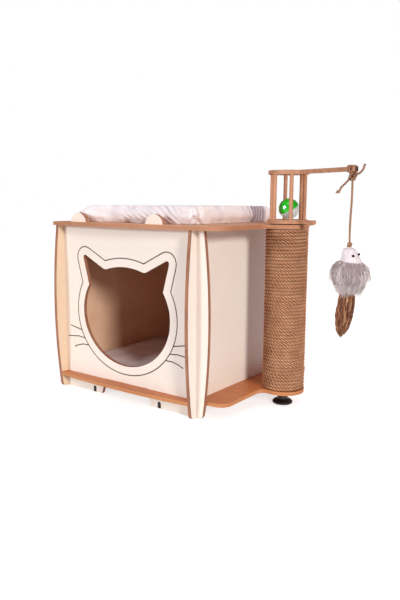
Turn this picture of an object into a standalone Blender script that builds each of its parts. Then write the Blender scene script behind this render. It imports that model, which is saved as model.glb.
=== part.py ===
"""Cat scratcher house: a board cabin with a cat-head doorway, a rope-wound post on a levelling
foot, a turning ball cage whose arm carries a string lure, and two cushions.

Axes: X to the right seen from the doorway, Y to the back, Z up, floor at Z = 0. The origin lies
on the floor, midway between the left fins and the arm's end, and midway from front to back."""

import math

import bmesh
import bpy
from mathutils import Matrix, Vector

MM = 0.001

# Boards and clearances
BOARD = 8 * MM
GAP = 0.3 * MM
FIT = BOARD + 2 * GAP

# Cabin
HOUSE_WIDTH = 380 * MM
HOUSE_DEPTH = 380 * MM
FLOOR_TO_BASE = 28 * MM
CABIN_HEIGHT = 336 * MM
BASE_TOP = FLOOR_TO_BASE + BOARD
DECK_UNDER = BASE_TOP + CABIN_HEIGHT
DECK_TOP = DECK_UNDER + BOARD
SIDE = HOUSE_WIDTH / 2
FRONT = HOUSE_DEPTH / 2

# Fins, where each panel runs past its neighbour
FIN_END = 16 * MM
FIN_BOW = 12 * MM
FIN_TOE_RADIUS = 9 * MM

# Feet of the front and back panels, with a glide let into each
ARCH_HALF = 62.5 * MM
ARCH_SPLAY = 10.5 * MM
GLIDE_OFFSET = 94.5 * MM
GLIDE_WIDTH = 8 * MM
GLIDE_HEIGHT = 14 * MM

# Feet of the side panels
SIDE_FOOT = 38 * MM
SIDE_FOOT_SPLAY = 6 * MM

# Board overhangs past the panels
FRONT_OVERHANG = 19 * MM
FRONT_BOW = 9 * MM
LEFT_OVERHANG = 9 * MM
LEFT_BOW = 5 * MM
RIGHT_OVERHANG = 61 * MM
BASE_CORNER_RADIUS = 26 * MM
DECK_CORNER_RADIUS = 34 * MM
DECK_LEFT_RADIUS = 4 * MM

# Lugs that stand through the deck
LUG_CENTRES = (-135 * MM, 83 * MM)
LUG_WIDTH = 48 * MM
LUG_STRAIGHT = 4 * MM

# Cat-head doorway in the front panel, heights above the base board
FACE_CENTRE = 149.5 * MM
FACE_HALF_WIDTH = 123.9 * MM
FACE_HALF_HEIGHT = 111.4 * MM
CROWN_HEIGHT = 252.7 * MM
CROWN_RADIUS = 170 * MM
EAR_X = 116 * MM
EAR_Z = 266.5 * MM
EAR_RADIUS = 5.8 * MM
EAR_INNER_ANGLE = math.radians(116.5)
EAR_OUTER_ANGLE = math.radians(-15.6)
NOTCH_REACH = 7 * MM

# Engraved line round the doorway, and the whiskers as runs of (x, height above the base board)
LINE_OFFSET = 18.3 * MM
LINE_WIDTH = 2.4 * MM
LINE_DEPTH = 0.8 * MM
WHISKERS = (
    ((132 * MM, 101.5 * MM), (168.8 * MM, 108.4 * MM)),
    ((122.5 * MM, 83.8 * MM), (141.8 * MM, 85.8 * MM), (178 * MM, 82.6 * MM)),
    ((111.5 * MM, 69 * MM), (129.2 * MM, 69 * MM), (144.7 * MM, 65.1 * MM), (157.2 * MM, 59.8 * MM)),
)

# Scratching post
POST_FROM_PANEL = 90 * MM
LOBE_RADIUS = 44.5 * MM
LOBE_FILLET = 16 * MM
TUBE_RADIUS = 37 * MM
TUBE_WALL = 4 * MM
ROPE_THICKNESS = 7 * MM
ROPE_TURNS = 24
ROPE_TURN_GAP = 0.5 * MM
PLUG_LENGTH = 18 * MM

# Threaded parts
THREAD_RADIUS = 4 * MM
HOLE_RADIUS = THREAD_RADIUS + GAP
INSERT_RADIUS = 6 * MM
INSERT_LENGTH = 12 * MM

# Levelling foot
PAD_RADIUS = 21.6 * MM
PAD_HEIGHT = 7 * MM
HUB_RADIUS = 11.5 * MM
HUB_CLEAR = 8 * MM
STEM_REACH = 24 * MM

# Ball cage and arm
ARM_ANGLE = math.radians(-22)
WASHER_RADIUS = 11 * MM
WASHER_THICKNESS = 1.4 * MM
CAGE_RADIUS = 41 * MM
CAGE_CLEAR = 90 * MM
DOWEL_RADIUS = 4 * MM
DOWEL_CIRCLE = 35 * MM
DOWEL_COUNT = 6
SOCKET_DEPTH = 5 * MM
TAB_REACH = 79 * MM
ARM_WIDTH = 11 * MM
ARM_REACH = 187 * MM
BOLT_HEAD_RADIUS = 7 * MM
BOLT_HEAD_HEIGHT = 4 * MM
BOLT_REACH = 24 * MM

# Bell ball, its centre off the cage's middle in the cage's own axes
BALL_RADIUS = 21 * MM
BALL_WALL = 1.5 * MM
BALL_SHIFT = (2.5 * MM, 1 * MM)
BALL_TILT = Vector((-0.27, -0.42, 0.87))
BELL_RADIUS = 6 * MM

# Lure string
STRING_RADIUS = 2 * MM
STRING_REACH = 176 * MM
KNOT_RADIUS = 5 * MM
STRING_END_KNOT = 4.5 * MM
STRING_LENGTH = 112 * MM

# Routes of the two loose string ends, in millimetres from the knot's centre
UPPER_END = ((4.3, -0.8, 3.6), (6.9, -1.4, 5.6), (11.5, -2, 7.0), (17, -2, 9.1), (25, -1, 16.6),
             (29, 0, 23.6))
LOWER_END = ((-5.4, -2.2, -1.6), (-12, -4.5, -8.4), (-24, -5, -16.4), (-32, -5, -24.9),
             (-37.5, -5, -28.4))

# Lure mouse
HEAD_RADIUS = 17 * MM
HEAD_HEIGHT = 29 * MM
BODY_RADIUS = 38 * MM
BODY_HEIGHT = 66 * MM
TAIL_LENGTH = 88 * MM
TAIL_RADIUS = 16.5 * MM
TAIL_SWING = 15 * MM
EYE_RADIUS = 2 * MM
EYE_SPREAD = math.radians(27)
EYE_HEIGHT = 14 * MM
MOUSE_TURN = math.radians(6)
TAIL_WAY = math.radians(232)

# Cushions
TOP_CUSHION = (342 * MM, 325 * MM, 36 * MM)
TOP_CUSHION_SHIFT = 9 * MM
TOP_CUSHION_PLAY = 4 * MM
FLOOR_CUSHION = (354 * MM, 354 * MM, 31 * MM)
CUSHION_PULL = 0.022

# Facets
ROUND = 40
SMALL_ROUND = 16
BALL_ROUND = 20

# Places worked out from the sizes above
INNER_SIDE = SIDE - BOARD
INNER_FRONT = FRONT - BOARD
LAP_HEIGHT = DECK_UNDER / 2
POST_X = SIDE + POST_FROM_PANEL
RIGHT_EDGE = SIDE + RIGHT_OVERHANG
CAGE_FLOOR_UNDER = DECK_TOP + WASHER_THICKNESS + 2 * GAP
CAGE_FLOOR_TOP = CAGE_FLOOR_UNDER + BOARD
ROOF_UNDER = CAGE_FLOOR_TOP + CAGE_CLEAR
ROOF_TOP = ROOF_UNDER + BOARD
LEFT_LIMIT = -(SIDE + FIN_END + FIN_BOW)
ARM_END_X = POST_X + (ARM_REACH - ARM_WIDTH / 2) * math.cos(ARM_ANGLE) + ARM_WIDTH / 2
HOUSE_X = -(LEFT_LIMIT + ARM_END_X) / 2


def linear(red, green, blue):
    """Screen colour, 0 to 255, as the linear values that a shader takes."""
    return tuple(((c / 255 + 0.055) / 1.055) ** 2.4 for c in (red, green, blue)) + (1.0,)


def material(name, colour, roughness, metallic=0.0, alpha=1.0):
    made = bpy.data.materials.new(name)
    made.use_nodes = True
    shader = made.node_tree.nodes["Principled BSDF"]
    shader.inputs["Base Color"].default_value = linear(*colour)
    shader.inputs["Roughness"].default_value = roughness
    shader.inputs["Metallic"].default_value = metallic
    shader.inputs["Alpha"].default_value = alpha
    made.diffuse_color = linear(*colour)
    return made


def empty(name, location=(0, 0, 0), turn=0.0, parent=None):
    made = bpy.data.objects.new(name, None)
    made.location = location
    made.rotation_euler = (0, 0, turn)
    made.parent = parent
    bpy.context.collection.objects.link(made)
    return made


def add(name, bm, parent, finish=None, location=(0, 0, 0), smooth=False):
    """Turns a bmesh into a named object under its parent, at a place in the parent's axes."""
    mesh = bpy.data.meshes.new(name)
    bm.to_mesh(mesh)
    bm.free()
    made = bpy.data.objects.new(name, mesh)
    made.location = location
    made.parent = parent
    bpy.context.collection.objects.link(made)
    if finish:
        mesh.materials.append(finish)
    if smooth:
        mesh.shade_smooth()
        mesh.set_sharp_from_angle(angle=math.radians(35))
    return made


def cut(target, cutter):
    """Cuts one object with another, which is then only a guide."""
    cutter.hide_render = True
    cutter.display_type = "WIRE"
    modifier = target.modifiers.new("cut_" + cutter.name, "BOOLEAN")
    modifier.operation = "DIFFERENCE"
    modifier.solver = "EXACT"
    modifier.object = cutter


def arc(centre, radius, start, end, steps):
    """Points on a circle from one angle in degrees to another."""
    angles = [math.radians(start + (end - start) * i / steps) for i in range(steps + 1)]
    return [(centre[0] + radius * math.cos(a), centre[1] + radius * math.sin(a)) for a in angles]


def bow(start, end, rise, steps):
    """Points on the arc from start to end that stands out to the right of the way by rise."""
    start, end = Vector(start), Vector(end)
    half = (end - start).length / 2
    radius = (half * half + rise * rise) / (2 * rise)
    along = (end - start).normalized()
    out = Vector((along.y, -along.x))
    centre = (start + end) / 2 + out * (rise - radius)
    reach = math.asin(half / radius)
    turns = [reach * (2 * i / steps - 1) for i in range(steps + 1)]
    points = [centre + radius * (out * math.cos(t) + along * math.sin(t)) for t in turns]
    return [(p.x, p.y) for p in points]


def mirrored(points):
    """The same run of points on the other side, in the order that closes the outline."""
    return [(-x, y) for x, y in reversed(points)]


def distinct(points):
    """The same outline without a point that repeats the one before it."""
    return [p for i, p in enumerate(points) if (Vector(p) - Vector(points[i - 1])).length > 1e-6]


def smooth_route(points, steps):
    """Points along a smooth curve through the given ones, steps to a stretch."""
    known = [Vector(p) for p in points]
    ends = [2 * known[0] - known[1]] + known + [2 * known[-1] - known[-2]]
    route = []
    for a, b, c, d in zip(ends, ends[1:], ends[2:], ends[3:]):
        for i in range(steps):
            t = i / steps
            bend = (2 * a - 5 * b + 4 * c - d) * t * t + (3 * b - a - 3 * c + d) * t * t * t
            route.append(b + ((c - a) * t + bend) / 2)
    return route + [known[-1]]


# Ways to lay an outline: flat, facing the front, facing the right side
FLAT = Matrix.Identity(4)
FACING_FRONT = Matrix(((1, 0, 0, 0), (0, 0, -1, 0), (0, 1, 0, 0), (0, 0, 0, 1)))
FACING_RIGHT = Matrix(((0, 0, 1, 0), (1, 0, 0, 0), (0, 1, 0, 0), (0, 0, 0, 1)))


def extruded(outline, start, thickness, plane=FLAT):
    """A closed plate from an outline, which begins at start along the plane's normal."""
    bm = bmesh.new()
    face = bm.faces.new([bm.verts.new((u, v, start)) for u, v in distinct(outline)])
    moved = bmesh.ops.extrude_face_region(bm, geom=[face])["geom"]
    raised = [v for v in moved if isinstance(v, bmesh.types.BMVert)]
    bmesh.ops.translate(bm, verts=raised, vec=(0, 0, thickness))
    bmesh.ops.recalc_face_normals(bm, faces=bm.faces)
    bmesh.ops.transform(bm, matrix=plane, verts=bm.verts)
    return bm


def turned(profile, closed=False, segments=ROUND):
    """A solid of revolution about Z from (radius, height) points, a ring where the profile closes."""
    bm = bmesh.new()
    verts = [bm.verts.new((r, 0, z)) for r, z in profile]
    pairs = list(zip(verts, verts[1:])) + ([(verts[-1], verts[0])] if closed else [])
    edges = [bm.edges.new(pair) for pair in pairs]
    bmesh.ops.spin(bm, geom=verts + edges, axis=(0, 0, 1), cent=(0, 0, 0), angle=2 * math.pi,
                   steps=segments, use_merge=True)
    bmesh.ops.remove_doubles(bm, verts=bm.verts, dist=1e-6)
    bmesh.ops.recalc_face_normals(bm, faces=bm.faces)
    return bm


def pins(centres, radius, low, high, segments=SMALL_ROUND):
    """Upright cylinders, apart from each other, in one mesh."""
    bm = bmesh.new()
    for x, y in centres:
        place = Matrix.Translation((x, y, (low + high) / 2))
        bmesh.ops.create_cone(bm, cap_ends=True, segments=segments, radius1=radius,
                              radius2=radius, depth=high - low, matrix=place)
    return bm


def boxes(corners):
    """Boxes, apart from each other, in one mesh, each from its low corner to its high one."""
    bm = bmesh.new()
    for low, high in corners:
        low, high = Vector(low), Vector(high)
        place = Matrix.Translation((low + high) / 2) @ Matrix.Diagonal((*(high - low), 1))
        bmesh.ops.create_cube(bm, size=1, matrix=place)
    return bm


def tube(name, route, radius, parent, finish, widths=None, cyclic=False, location=(0, 0, 0)):
    """A round cord along a route, with filled ends, as a curve object."""
    curve = bpy.data.curves.new(name, "CURVE")
    curve.dimensions = "3D"
    curve.bevel_depth = radius
    curve.bevel_resolution = 1
    curve.use_fill_caps = not cyclic
    spline = curve.splines.new("POLY")
    spline.points.add(len(route) - 1)
    for i, (point, place) in enumerate(zip(spline.points, route)):
        point.co = (*place, 1)
        point.radius = widths[i] if widths else 1
    spline.use_cyclic_u = cyclic
    made = bpy.data.objects.new(name, curve)
    made.location = location
    made.parent = parent
    curve.materials.append(finish)
    bpy.context.collection.objects.link(made)
    return made


# Panels


def glide_slot(centre):
    """The slot for a glide in a foot's underside, open below."""
    half = GLIDE_WIDTH / 2 + GAP
    top = arc((centre, GLIDE_HEIGHT + GAP - half), half, 180, 0, 8)
    return [(centre - half, 0)] + top + [(centre + half, 0)]


def front_foot():
    shoulder = BASE_TOP + GAP
    foot = [(ARCH_HALF, shoulder), (ARCH_HALF, FLOOR_TO_BASE), (ARCH_HALF + ARCH_SPLAY, 0)]
    return foot + glide_slot(GLIDE_OFFSET)


def side_foot():
    shoulder = BASE_TOP + GAP
    inner = FRONT - SIDE_FOOT
    return [(inner, shoulder), (inner, FLOOR_TO_BASE), (inner + SIDE_FOOT_SPLAY, 0)]


def lugs_from_the_right():
    points = []
    for centre in sorted(LUG_CENTRES, reverse=True):
        half = LUG_WIDTH / 2
        points.append((centre + half, DECK_UNDER - GAP))
        points += arc((centre, DECK_UNDER + LUG_STRAIGHT), half, 0, 180, 16)
        points.append((centre - half, DECK_UNDER - GAP))
    return points


def panel_outline(half, foot, lap_below, lugs=()):
    """A wall panel: feet, half laps for its neighbours, bowed fins past them, lugs on top."""
    top = DECK_UNDER - GAP
    inner, outer = half - BOARD - GAP, half + GAP
    lap_end = LAP_HEIGHT + (GAP / 2 if lap_below else -GAP / 2)
    edge = 0 if lap_below else top
    lap = [(inner, edge), (inner, lap_end), (outer, lap_end), (outer, edge)]
    fin = half + FIN_END
    toe = arc((fin - FIN_TOE_RADIUS, FIN_TOE_RADIUS), FIN_TOE_RADIUS, -90, 0, 6)
    right_fin = bow((fin, FIN_TOE_RADIUS), (fin, top), FIN_BOW, 14)
    low = foot + (lap if lap_below else []) + toe + right_fin
    high = [] if lap_below else lap[::-1]
    return low + high + list(lugs) + mirrored(high) + mirrored(low)


def head_outline(offset, soft=0.0):
    """The cat's head, ears up, moved outwards by offset, with inner notches softened by soft."""
    centre = Vector((0, BASE_TOP + FACE_CENTRE))
    wide, tall = FACE_HALF_WIDTH + offset, FACE_HALF_HEIGHT + offset
    ear = Vector((EAR_X, BASE_TOP + EAR_Z))
    radius = EAR_RADIUS + offset
    crown_centre = Vector((0, BASE_TOP + CROWN_HEIGHT - CROWN_RADIUS))
    crown = CROWN_RADIUS + offset
    out_normal = Vector((math.cos(EAR_OUTER_ANGLE), math.sin(EAR_OUTER_ANGLE)))
    in_normal = Vector((math.cos(EAR_INNER_ANGLE), math.sin(EAR_INNER_ANGLE)))
    cheek = first_crossing(ear + radius * out_normal, Vector((out_normal.y, -out_normal.x)),
                           centre, wide, tall)
    notch = first_crossing(ear + radius * in_normal, Vector((-in_normal.y, in_normal.x)),
                           crown_centre, crown, crown)
    cheek_angle = math.degrees(math.atan2((cheek.y - centre.y) / tall, (cheek.x) / wide))
    notch_angle = math.degrees(math.atan2(notch.y - crown_centre.y, notch.x))
    angles = [math.radians(-90 + (cheek_angle + 90) * i / 22) for i in range(23)]
    points = [(wide * math.cos(a), centre.y + tall * math.sin(a)) for a in angles]
    points += arc(ear, radius, math.degrees(EAR_OUTER_ANGLE), math.degrees(EAR_INNER_ANGLE), 6)
    before = notch + soft * Vector((in_normal.y, -in_normal.x))
    crown_start = notch_angle + math.degrees(soft / crown)
    crown_points = arc(crown_centre, crown, crown_start, 90, 6)
    after = Vector(crown_points[0])
    for i in range(4):
        t = i / 4
        bend = before * (1 - t) ** 2 + notch * (2 * t * (1 - t)) + after * t * t
        points.append((bend.x, bend.y))
    points += crown_points
    return points + mirrored(points)


def first_crossing(start, way, centre, wide, tall):
    """Where a line from start first meets the ellipse about centre."""
    p = Vector(((start.x - centre.x) / wide, (start.y - centre.y) / tall))
    d = Vector((way.x / wide, way.y / tall))
    a, b, c = d.dot(d), p.dot(d), p.dot(p) - 1
    return start + way * ((-b - math.sqrt(b * b - a * c)) / a)


def engraving_ring():
    """The cutter of the engraved line: a closed band between two outlines of the head."""
    bm = bmesh.new()
    loops = []
    for offset in (LINE_OFFSET - LINE_WIDTH / 2, LINE_OFFSET + LINE_WIDTH / 2):
        outline = distinct(head_outline(offset))
        for depth in (FRONT - LINE_DEPTH, FRONT + LINE_DEPTH):
            loops.append([bm.verts.new((u, v, depth)) for u, v in outline])
    inner_low, inner_high, outer_low, outer_high = loops
    for one, other in ((inner_low, inner_high), (inner_high, outer_high),
                       (outer_high, outer_low), (outer_low, inner_low)):
        for i in range(len(one)):
            bm.faces.new((one[i - 1], one[i], other[i], other[i - 1]))
    bmesh.ops.recalc_face_normals(bm, faces=bm.faces)
    bmesh.ops.transform(bm, matrix=FACING_FRONT, verts=bm.verts)
    return bm


def whisker_strip(run):
    """The outline of a line of even width along a run of points."""
    points = [Vector((x, BASE_TOP + z)) for x, z in run]
    left, right = [], []
    for i, point in enumerate(points):
        way = (points[min(i + 1, len(points) - 1)] - points[max(i - 1, 0)]).normalized()
        side = Vector((-way.y, way.x)) * LINE_WIDTH / 2
        left.append(tuple(point + side))
        right.append(tuple(point - side))
    return right + left[::-1]


def whisker_cutter():
    """All whiskers of both cheeks in one cutter."""
    whole = bmesh.new()
    for run in WHISKERS:
        for side in (1, -1):
            strip = [(side * u, v) for u, v in whisker_strip(run)]
            bm = extruded(strip, FRONT - LINE_DEPTH, 2 * LINE_DEPTH, FACING_FRONT)
            mesh = bpy.data.meshes.new("whisker")
            bm.to_mesh(mesh)
            bm.free()
            whole.from_mesh(mesh)
            bpy.data.meshes.remove(mesh)
    return whole


def make_panels(house, cream):
    cross_outline = panel_outline(SIDE, front_foot(), True, lugs_from_the_right())
    side_outline = panel_outline(FRONT, side_foot(), False)
    front = add("front_panel", extruded(cross_outline, INNER_FRONT, BOARD, FACING_FRONT), house, cream)
    add("back_panel", extruded(cross_outline, -FRONT, BOARD, FACING_FRONT), house, cream)
    add("left_panel", extruded(side_outline, -SIDE, BOARD, FACING_RIGHT), house, cream)
    add("right_panel", extruded(side_outline, INNER_SIDE, BOARD, FACING_RIGHT), house, cream)
    doorway = extruded(head_outline(0.0, NOTCH_REACH), INNER_FRONT - BOARD, 3 * BOARD, FACING_FRONT)
    cut(front, add("doorway_cutter", doorway, house))
    cut(front, add("engraving_cutter", engraving_ring(), house))
    cut(front, add("whisker_cutter", whisker_cutter(), house))


def make_glides(house, rubber):
    half = GLIDE_WIDTH / 2
    for name, start in (("front", INNER_FRONT), ("back", -FRONT)):
        for side, centre in (("left", -GLIDE_OFFSET), ("right", GLIDE_OFFSET)):
            outline = [(centre - half, 0)] + arc((centre, GLIDE_HEIGHT - half), half, 180, 0, 8)
            outline.append((centre + half, 0))
            plate = extruded(outline, start, BOARD, FACING_FRONT)
            add(f"glide_{name}_{side}", plate, house, rubber)


# Base board and deck


def lobe_run():
    """The right edge from front to back: a hollow curve, the round lobe for the post, a hollow curve."""
    reach = POST_X - RIGHT_EDGE - LOBE_FILLET
    span = LOBE_RADIUS + LOBE_FILLET
    drop = math.sqrt(span * span - reach * reach)
    tangent = math.degrees(math.atan2(drop, reach))
    centre_x = RIGHT_EDGE + LOBE_FILLET
    first = arc((centre_x, -drop), LOBE_FILLET, 180, tangent, 8)
    lobe = arc((POST_X, 0), LOBE_RADIUS, tangent - 180, 180 - tangent, 30)
    last = [(x, -y) for x, y in reversed(first)]
    return first + lobe + last


def flipped(points):
    """The run's other half, behind the middle of the depth."""
    return [(x, -y) for x, y in reversed(points)]


def base_outline():
    inner_x, outer_x = INNER_SIDE - GAP, SIDE + GAP
    inner_y, outer_y = INNER_FRONT - GAP, FRONT + GAP
    bridge_x = ARCH_HALF - GAP
    bridge_y = FRONT - SIDE_FOOT - GAP
    left = SIDE + LEFT_OVERHANG
    front = FRONT + FRONT_OVERHANG
    corner = arc((RIGHT_EDGE - BASE_CORNER_RADIUS, -inner_y + BASE_CORNER_RADIUS),
                 BASE_CORNER_RADIUS, -90, 0, 8)
    front_half = [(-left, -inner_y), (-outer_x, -inner_y), (-outer_x, -bridge_y), (-inner_x, -bridge_y),
                  (-inner_x, -inner_y), (-bridge_x, -inner_y), (-bridge_x, -outer_y), (-inner_x, -outer_y)]
    front_half += bow((-inner_x, -front), (inner_x, -front), FRONT_BOW, 16)
    front_half += [(inner_x, -outer_y), (bridge_x, -outer_y), (bridge_x, -inner_y), (inner_x, -inner_y),
                   (inner_x, -bridge_y), (outer_x, -bridge_y), (outer_x, -inner_y)]
    front_half += corner
    left_edge = bow((-left, inner_y), (-left, -inner_y), LEFT_BOW, 12)
    return front_half + lobe_run() + flipped(front_half) + left_edge


def deck_outline():
    left = SIDE + LEFT_OVERHANG
    front = FRONT + FRONT_OVERHANG
    front_half = arc((-left + DECK_LEFT_RADIUS, -front + DECK_LEFT_RADIUS), DECK_LEFT_RADIUS, 180, 270, 4)
    front_half += bow((-left + DECK_LEFT_RADIUS, -front), (RIGHT_EDGE - DECK_CORNER_RADIUS, -front),
                      FRONT_BOW, 18)
    front_half += arc((RIGHT_EDGE - DECK_CORNER_RADIUS, -front + DECK_CORNER_RADIUS),
                      DECK_CORNER_RADIUS, -90, 0, 8)
    left_start = (-left, front - DECK_LEFT_RADIUS)
    left_edge = bow(left_start, (-left, -front + DECK_LEFT_RADIUS), LEFT_BOW, 12)
    return front_half + lobe_run() + flipped(front_half) + left_edge


def make_boards(house, beech):
    base = add("base_board", extruded(base_outline(), FLOOR_TO_BASE, BOARD), house, beech)
    deck = add("top_board", extruded(deck_outline(), DECK_UNDER, BOARD), house, beech)
    stem_hole = pins([(POST_X, 0)], HOLE_RADIUS, FLOOR_TO_BASE - BOARD, BASE_TOP + BOARD)
    cut(base, add("stem_hole_cutter", stem_hole, house))
    bolt_hole = pins([(POST_X, 0)], HOLE_RADIUS, DECK_UNDER - BOARD, DECK_TOP + BOARD)
    cut(deck, add("bolt_hole_cutter", bolt_hole, house))
    slots = []
    half = LUG_WIDTH / 2 + GAP
    for centre in LUG_CENTRES:
        for start in (-FRONT - GAP, INNER_FRONT - GAP):
            low = (centre - half, start, DECK_UNDER - BOARD)
            slots.append((low, (centre + half, start + FIT, DECK_TOP + BOARD)))
    cut(deck, add("lug_slot_cutter", boxes(slots), house))


# Scratching post


def rope_winding():
    """One unbroken tube wound up the post, each modelled turn standing for two of thinner rope."""
    height = DECK_UNDER - BASE_TOP - 2 * GAP
    pitch = (height + ROPE_TURN_GAP) / (ROPE_TURNS + 1)
    half_height = (pitch - ROPE_TURN_GAP) / 2
    steps = 24
    inner = (TUBE_RADIUS + GAP) / math.cos(math.pi / steps)
    middle = inner + ROPE_THICKNESS / 2
    rise = half_height / math.sin(math.radians(60))
    low = BASE_TOP + GAP + half_height
    sides = [math.radians(60 * i) for i in range(6)]
    profile = [(middle + ROPE_THICKNESS / 2 * math.cos(a), low + rise * math.sin(a)) for a in sides]
    bm = bmesh.new()
    face = bm.faces.new([bm.verts.new((r, 0, z)) for r, z in profile])
    bmesh.ops.spin(bm, geom=[face], axis=(0, 0, 1), cent=(0, 0, 0), dvec=(0, 0, pitch / steps),
                   angle=2 * math.pi * ROPE_TURNS, steps=steps * ROPE_TURNS)
    bmesh.ops.recalc_face_normals(bm, faces=bm.faces)
    outline = [(Vector((r, z)), Vector((r, z + pitch))) for r, z in profile]
    least = min((a[0] - b[1]).length for a in outline for b in outline)
    print(f"least gap between turns of the rope: {1000 * least:.2f} mm")
    return bm


def ring(inner, outer, low, high, segments=ROUND):
    return turned([(inner, low), (outer, low), (outer, high), (inner, high)], True, segments)


def make_post(house, finishes):
    at_post = (POST_X, 0, 0)
    low, high = BASE_TOP + GAP, DECK_UNDER - GAP
    bore = TUBE_RADIUS - TUBE_WALL
    add("post_tube", ring(bore, TUBE_RADIUS, low, high), house, finishes["card"], at_post, True)
    add("post_rope", rope_winding(), house, finishes["rope"], at_post)
    for name, bottom, insert_bottom in (
        ("bottom", low, low),
        ("top", high - PLUG_LENGTH, high - INSERT_LENGTH),
    ):
        plug = ring(HOLE_RADIUS, bore - GAP, bottom, bottom + PLUG_LENGTH)
        plug = add(f"post_plug_{name}", plug, house, finishes["beech"], at_post, True)
        pocket_low, pocket_high = insert_bottom - BOARD, insert_bottom + INSERT_LENGTH + GAP
        if name == "top":
            pocket_low, pocket_high = insert_bottom - GAP, insert_bottom + INSERT_LENGTH + BOARD
        pocket = pins([(0, 0)], INSERT_RADIUS + GAP, pocket_low, pocket_high)
        cut(plug, add(f"insert_{name}_cutter", pocket, house, None, at_post))
        insert = ring(HOLE_RADIUS, INSERT_RADIUS, insert_bottom, insert_bottom + INSERT_LENGTH, SMALL_ROUND)
        add(f"insert_nut_{name}", insert, house, finishes["steel"], at_post, True)


def make_foot(house, finishes):
    """Pad and hub in one, and the threaded stem that stands in them."""
    at_post = (POST_X, 0, 0)
    socket = THREAD_RADIUS + GAP
    lip = 1.5 * MM
    hub_top = FLOOR_TO_BASE - HUB_CLEAR
    profile = [(0, 0), (PAD_RADIUS - lip, 0), (PAD_RADIUS, lip), (PAD_RADIUS, PAD_HEIGHT - 2 * lip),
               (PAD_RADIUS - 2 * lip, PAD_HEIGHT), (HUB_RADIUS + lip, PAD_HEIGHT + lip),
               (HUB_RADIUS, PAD_HEIGHT + 2 * lip), (HUB_RADIUS, hub_top), (socket, hub_top),
               (socket, PAD_HEIGHT), (0, PAD_HEIGHT)]
    add("foot_pad", turned(profile, segments=ROUND - 8), house, finishes["black"], at_post, True)
    stem = pins([(0, 0)], THREAD_RADIUS, PAD_HEIGHT + GAP, BASE_TOP + STEM_REACH)
    add("foot_stem", stem, house, finishes["steel"], at_post, True)


# Ball cage and arm


def disc_with_strip(reach, width, rounded):
    """A disc with a strip along +X, its end round or square."""
    half = width / 2
    root = math.degrees(math.asin(half / CAGE_RADIUS))
    disc = arc((0, 0), CAGE_RADIUS, root, 360 - root, ROUND)
    if rounded:
        return disc + arc((reach - half, 0), half, -90, 90, 12)
    return disc + [(reach, -half), (reach, half)]


def dowel_places():
    turns = [2 * math.pi * (i + 0.5) / DOWEL_COUNT for i in range(DOWEL_COUNT)]
    return [(DOWEL_CIRCLE * math.cos(t), DOWEL_CIRCLE * math.sin(t)) for t in turns]


def make_cage(cage, house, finishes):
    floor_outline = disc_with_strip(TAB_REACH, ARM_WIDTH, False)
    roof_outline = disc_with_strip(ARM_REACH, ARM_WIDTH, True)
    floor = add("cage_floor", extruded(floor_outline, CAGE_FLOOR_UNDER, BOARD), cage, finishes["beech"])
    roof = add("cage_roof_arm", extruded(roof_outline, ROOF_UNDER, BOARD), cage, finishes["beech"])
    seat = DOWEL_RADIUS + GAP
    places = dowel_places()
    low, high = CAGE_FLOOR_TOP - SOCKET_DEPTH, ROOF_UNDER + SOCKET_DEPTH
    low_sockets = pins(places, seat, low, CAGE_FLOOR_TOP + BOARD)
    cut(floor, add("low_socket_cutter", low_sockets, cage))
    high_sockets = pins(places, seat, ROOF_UNDER - BOARD, high)
    cut(roof, add("high_socket_cutter", high_sockets, cage))
    for i, place in enumerate(places):
        dowel = pins([(0, 0)], DOWEL_RADIUS, low + GAP, high - GAP)
        add(f"cage_dowel_{i + 1}", dowel, cage, finishes["beech"], (*place, 0), True)
    head_top = CAGE_FLOOR_TOP - GAP
    head_under = head_top - BOLT_HEAD_HEIGHT
    pivot = pins([(0, 0)], HOLE_RADIUS, CAGE_FLOOR_UNDER - BOARD, CAGE_FLOOR_TOP + BOARD)
    cut(floor, add("pivot_cutter", pivot, cage))
    recess = pins([(0, 0)], BOLT_HEAD_RADIUS + GAP, head_under - GAP, CAGE_FLOOR_TOP + BOARD, ROUND // 2)
    cut(floor, add("recess_cutter", recess, cage))
    at_post = (POST_X, 0, 0)
    end = DECK_UNDER - BOLT_REACH
    bolt = turned([(0, end), (THREAD_RADIUS, end), (THREAD_RADIUS, head_under),
                   (BOLT_HEAD_RADIUS, head_under), (BOLT_HEAD_RADIUS, head_top), (0, head_top)],
                  segments=SMALL_ROUND)
    add("cage_bolt", bolt, house, finishes["steel"], at_post, True)
    washer = ring(HOLE_RADIUS, WASHER_RADIUS, DECK_TOP + GAP, DECK_TOP + GAP + WASHER_THICKNESS, SMALL_ROUND)
    add("cage_washer", washer, house, finishes["black"], at_post, True)


def half_shell(way):
    """Half of a hollow ball whose pole points along way."""
    steps = 7
    inner = BALL_RADIUS - BALL_WALL
    angles = [math.radians(90 * (1 - i / steps)) for i in range(steps + 1)]
    outside = [(BALL_RADIUS * math.cos(a), BALL_RADIUS * math.sin(a)) for a in angles]
    inside = [(inner * math.cos(a), inner * math.sin(a)) for a in reversed(angles)]
    bm = turned(outside + inside, segments=BALL_ROUND)
    bmesh.ops.translate(bm, verts=bm.verts, vec=(0, 0, GAP))
    turn = Vector((0, 0, 1)).rotation_difference(way.normalized()).to_matrix().to_4x4()
    bmesh.ops.transform(bm, matrix=turn, verts=bm.verts)
    return bm


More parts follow.
